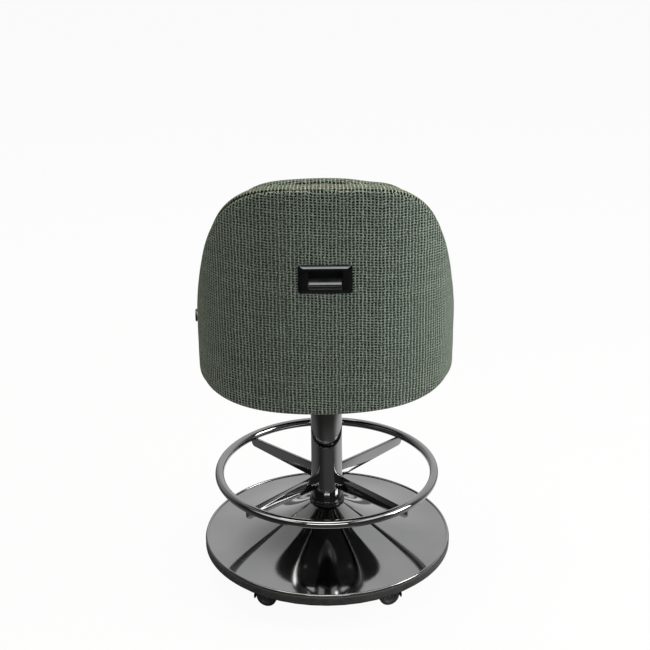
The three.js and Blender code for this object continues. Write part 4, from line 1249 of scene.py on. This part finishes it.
bezel = bent_grid("handle_bezel_moulded", np.array([
    rounded_ring(width, handle_height - height / 2, handle_height + height / 2, corner, y)
    for width, height, corner, y in bezel_rings]))
close_up(bezel)
rounded_edges(bezel, bezel_edge, 2, 25)
settle(bezel, "seat", black_plastic, "black_plastic", "handle_bezel")

mouth_width = 0.062
mouth_half_height = 0.017
mouth_lip = 0.002
cup_front = 0.2457
cup_undercut = 0.005
cup_wall = 0.0015
cup_end = 0.0295
scoop_start = 0.002
scoop_depth = 0.0055
scoop_rise = 0.015
scoop_power = 1.6
slot_low = 0.0155
slot_edge = 0.001
slot_lead = 0.0004
cup_corner = 0.0028

cup_rows = []
cup_floor = [(0, -mouth_half_height)]
for share in np.linspace(0, 1, 13):
    rise = scoop_rise * share ** scoop_power
    cup_floor.append((scoop_start + scoop_depth * share, -mouth_half_height + rise))
slot_start = scoop_start + scoop_depth + slot_lead
cup_floor += [(slot_start, slot_low - slot_edge), (slot_start + slot_edge, slot_low)]
cup_floor += [(cup_end, slot_low)]
for depth, low in cup_floor:
    high = mouth_half_height + cup_undercut * min(1, max(0, (depth - scoop_start) / mouth_lip))
    ring = rounded_ring(
        mouth_width, handle_height + low, handle_height + high, cup_corner, cup_front - depth)
    cup_rows.append(ring[::-1])
back_wall = np.array(cup_rows[-1])
middle = (back_wall.max(axis=0) + back_wall.min(axis=0)) / 2
for share in (0.9, 0.6, 0.3, 0):
    cup_rows.append(middle + (back_wall - middle) * share)
cup = bent_grid("handle_cup_moulded", np.array(cup_rows))
close_up(cup, outward=False)
back_it(cup, cup_wall)
bpy.ops.object.select_all(action="DESELECT")
cup.select_set(True)
bpy.ops.object.shade_smooth_by_angle(angle=smooth_angle)
settle(cup, "seat", black_plastic, "black_plastic", "handle_cup")

# Side cap: a turned plastic cap over the screw that fixes the arm. It is pressed on over a
# bright steel washer, low on one arm.
cap_set_back = 0.030
cap_run = quarter_run - cap_set_back
cap_height = 0.590
cap_radius = 0.0125
cap_edge = 0.0008
cap_thickness = 0.003
cap_dome = 0.0004
cap_start = 0.0018
outline = [(lathe_axis, 0), (cap_radius - cap_edge / 2, 0)]
outline += arc((cap_radius - cap_edge, cap_thickness - cap_edge), cap_edge, 0, 90, 5)
for share in (0.8, 0.6, 0.4, 0.2):
    outline.append((cap_radius * share, cap_thickness + cap_dome * (1 - share ** 2)))
outline += [(lathe_axis, cap_thickness + cap_dome), outline[0]]
side_cap = turn_on_lathe("side_screw_cap", outline, 64)
cap_place = Vector(plan_place(cap_run, 0, cap_height).tolist())
cap_behind = Vector(plan_place(cap_run, cap_thickness, cap_height).tolist())
cap_facing = (cap_place - cap_behind).normalized()
stand_out = cap_facing.to_track_quat("Z", "Y").to_matrix().to_4x4()
side_cap.data.transform(Matrix.Translation(cap_place + cap_facing * cap_start) @ stand_out)
settle(side_cap, "seat", black_plastic, "black_plastic", "side_cap")

# Seat cushion: a top panel and a boxed side sewn round one block of foam, with the side pulled
# down over the edge of the pan and stapled under it. It is wider in front of the arms. The
# cloth is blown out a little between its seams, as foam does.
seat_base = 0.486
seat_seam = 0.586
seam_reach = 0.00005
seat_rise = 0.021
seat_ear_gap = 0.001
seat_corner = 0.0045
seat_side_count = 76
seat_side_rows = 22
seat_side_shares = [0, 0.05, 0.12, 0.25, 0.55, 0.82, 0.94, 1]
seat_side_insets = [0.004, 0.0018, 0.001, 0.001, 0.0035, 0.002, 0.0025, 0.004]
seat_wrap = [
    (0.0086, 0.4998), (0.0086, 0.494), (0.0086, 0.488), (0.0082, 0.4864), (0.0066, 0.4858)]
near_middle = 0.01
tub_steps, front_steps, outline_steps = 700, 500, 1600
grid_spread_share = 0.92
crown_edge_share, crown_edge_reach = 0.62, 0.014
crown_wide_share, crown_wide_reach = 0.38, 0.14
on_edge_share = 0.99999
seat_swell = 0.006
seat_pressure = 4.0
blow_steps = 20
wrap_held = 0.004
seam_held = 0.0004
tub_held = -0.02


def seat_outline(inset, z):
    """The closed edge of the seat at one height, drawn in by an inset, with its corners rounded."""
    inner = np.linspace(-tub_reach, tub_reach, tub_steps)
    thick = taper(inner, tub_middle, tub_arm)
    rear = tub_place(inner, thick + seat_ear_gap + inset, z)
    ear = tub_reach + seat_ear_gap
    front_run = np.linspace(ear, 2 * half_run - ear, front_steps)
    front_run = np.where(front_run > half_run, front_run - 2 * half_run, front_run)
    front = plan_place(front_run, inset, z)
    edge = np.concatenate([rear, front])[:, :2]
    edge = np.concatenate([edge, edge[:1]])
    length = np.concatenate([[0], np.cumsum(np.hypot(*np.diff(edge, axis=0).T))])
    even = np.linspace(0, length[-1], outline_steps, endpoint=False)
    flat = np.stack([np.interp(even, length, edge[:, i]) for i in (0, 1)], axis=-1)
    waves = np.fft.fftfreq(outline_steps, length[-1] / outline_steps)
    soften = np.exp(-2 * (math.pi * seat_corner * waves) ** 2)
    return np.fft.ifft(np.fft.fft(flat, axis=0) * soften[:, None], axis=0).real, length[-1]


def ring_at(outline, shares):
    """Points at the given shares of a closed edge, counted from the middle of the back."""
    count = len(outline)
    rear = np.argmax(np.where(np.abs(outline[:, 0]) < near_middle, outline[:, 1], -1))
    place = (shares * count + rear) % count
    closed = np.concatenate([outline, outline[:1]])
    index = np.arange(count + 1)
    return np.stack([np.interp(place, index, closed[:, i]) for i in (0, 1)], axis=-1)


def square_shares(count):
    """For a square grid, how far out each point is, and its share round the edge."""
    turns = np.linspace(-math.pi / 2, math.pi / 2, count + 1) * grid_spread_share
    line = np.sin(turns) / math.sin(math.pi / 2 * grid_spread_share)
    u, v = np.meshgrid(line, line)
    level = np.maximum(np.abs(u), np.abs(v))
    safe = np.where(level == 0, 1, level)
    share = np.where(v >= np.abs(u), u / safe / 8, 0)
    share = np.where((u > np.abs(v)), 0.25 - v / safe / 8, share)
    share = np.where((v <= -np.abs(u)) & (level > 0), 0.5 - u / safe / 8, share)
    share = np.where((u < -np.abs(v)), 0.75 + v / safe / 8, share)
    return level, share % 1.0


def seat_panel(name, z, inset, rise, flip):
    """The top or base cloth: a square grid pulled out to the seat's edge and crowned."""
    outline, _ = seat_outline(inset, z)
    level, share = square_shares(seat_side_count)
    edge = ring_at(outline, share.ravel()).reshape(*share.shape, 2)
    flat = edge * level[..., None]
    depth = np.hypot(*(edge - flat).transpose(2, 0, 1))
    wide = np.sin(math.pi / 2 * np.clip(depth / crown_wide_reach, 0, 1))
    height = crown_edge_share * (1 - np.exp(-depth / crown_edge_reach)) + crown_wide_share * wide
    points = np.concatenate([flat, (z + rise * height)[..., None]], axis=-1)
    if flip:
        points = points[::-1]
    return cloth_panel(name, points, points[..., :2])


levels, shares = square_shares(seat_side_count)
on_edge = np.sort(np.unique(np.round(shares[levels > on_edge_share], 9)))
edge_turns = np.concatenate([on_edge, [on_edge[0] + 1]])
side_levels = (1 - np.cos(np.linspace(0, math.pi, seat_side_rows + 1))) / 2
side_rows = list(seat_wrap)
for level in side_levels:
    inset = float(np.interp(level, seat_side_shares, seat_side_insets))
    side_rows.append((inset, seat_base + (seat_seam - seat_base) * level))
side_points, side_chart = [], []
for inset, z in side_rows:
    outline, length = seat_outline(inset, z)
    ring = ring_at(outline, edge_turns % 1.0)
    side_points.append(np.concatenate([ring, np.full((len(ring), 1), z)], axis=-1))
    side_chart.append(np.stack([-edge_turns * length, np.full(len(ring), z)], axis=-1))
side_points = np.array(side_points)[:, ::-1]
side_chart = np.array(side_chart)[:, ::-1]
panels = [
    seat_panel("seat_top_panel", seat_seam, seat_side_insets[-1], seat_rise, False),
    seat_panel("seat_base_cloth", seat_wrap[0][1], seat_wrap[0][0], 0.0, True),
    cloth_panel("seat_side_strip", side_points, side_chart),
]
bpy.ops.object.select_all(action="DESELECT")
for panel in panels:
    panel.select_set(True)
bpy.context.view_layer.objects.active = panels[0]
bpy.ops.object.join()
cushion = panels[0]
cushion.name = "seat_cushion_cloth"
close_up(cushion, seam_reach)


def blow_out(piece, held, pressure, swell):
    """Runs the cloth of a padded piece outwards a little, except at the held points."""
    start = np.zeros(len(piece.data.vertices) * 3)
    piece.data.vertices.foreach_get("co", start)
    start = start.reshape(-1, 3)
    pins = piece.vertex_groups.new(name="sewn")
    pins.add(np.flatnonzero(held(start)).tolist(), 1.0, "REPLACE")
    cloth = piece.modifiers.new("cloth", "CLOTH")
    cloth.settings.vertex_group_mass = "sewn"
    cloth.settings.use_pressure = True
    cloth.settings.uniform_pressure_force = pressure
    cloth.settings.effector_weights.gravity = 0
    cloth.settings.quality = 5
    cloth.point_cache.frame_start = 1
    cloth.point_cache.frame_end = blow_steps
    for moment in range(1, blow_steps + 1):
        bpy.context.scene.frame_set(moment)
    shape = piece.evaluated_get(bpy.context.evaluated_depsgraph_get()).data
    moved = np.zeros(len(shape.vertices) * 3)
    shape.vertices.foreach_get("co", moved)
    piece.modifiers.remove(cloth)
    bpy.context.scene.frame_set(1)
    step = moved.reshape(-1, 3) - start
    length = np.linalg.norm(step, axis=1, keepdims=True)
    step *= swell * np.tanh(length / swell) / np.maximum(length, 0.000001)
    piece.data.vertices.foreach_set("co", (start + step).ravel())
    piece.data.update()


def sewn_down(spot):
    """The cushion's held points: under the pan, along its seam, and where the tub holds it."""
    wrapped = spot[:, 2] < seat_base + wrap_held
    inside = (spot[:, 1] > tub_held) & (spot[:, 2] < seat_seam)
    return wrapped | inside | (np.abs(spot[:, 2] - seat_seam) < seam_held)


blow_out(cushion, sewn_down, seat_pressure, seat_swell)
smooth = cushion.modifiers.new("fine", "SUBSURF")
smooth.levels = 1
smooth.render_levels = 1
bpy.ops.object.modifier_apply(modifier="fine")
settle(cushion, "seat", green_cloth, "green_fabric", "seat_cushion")
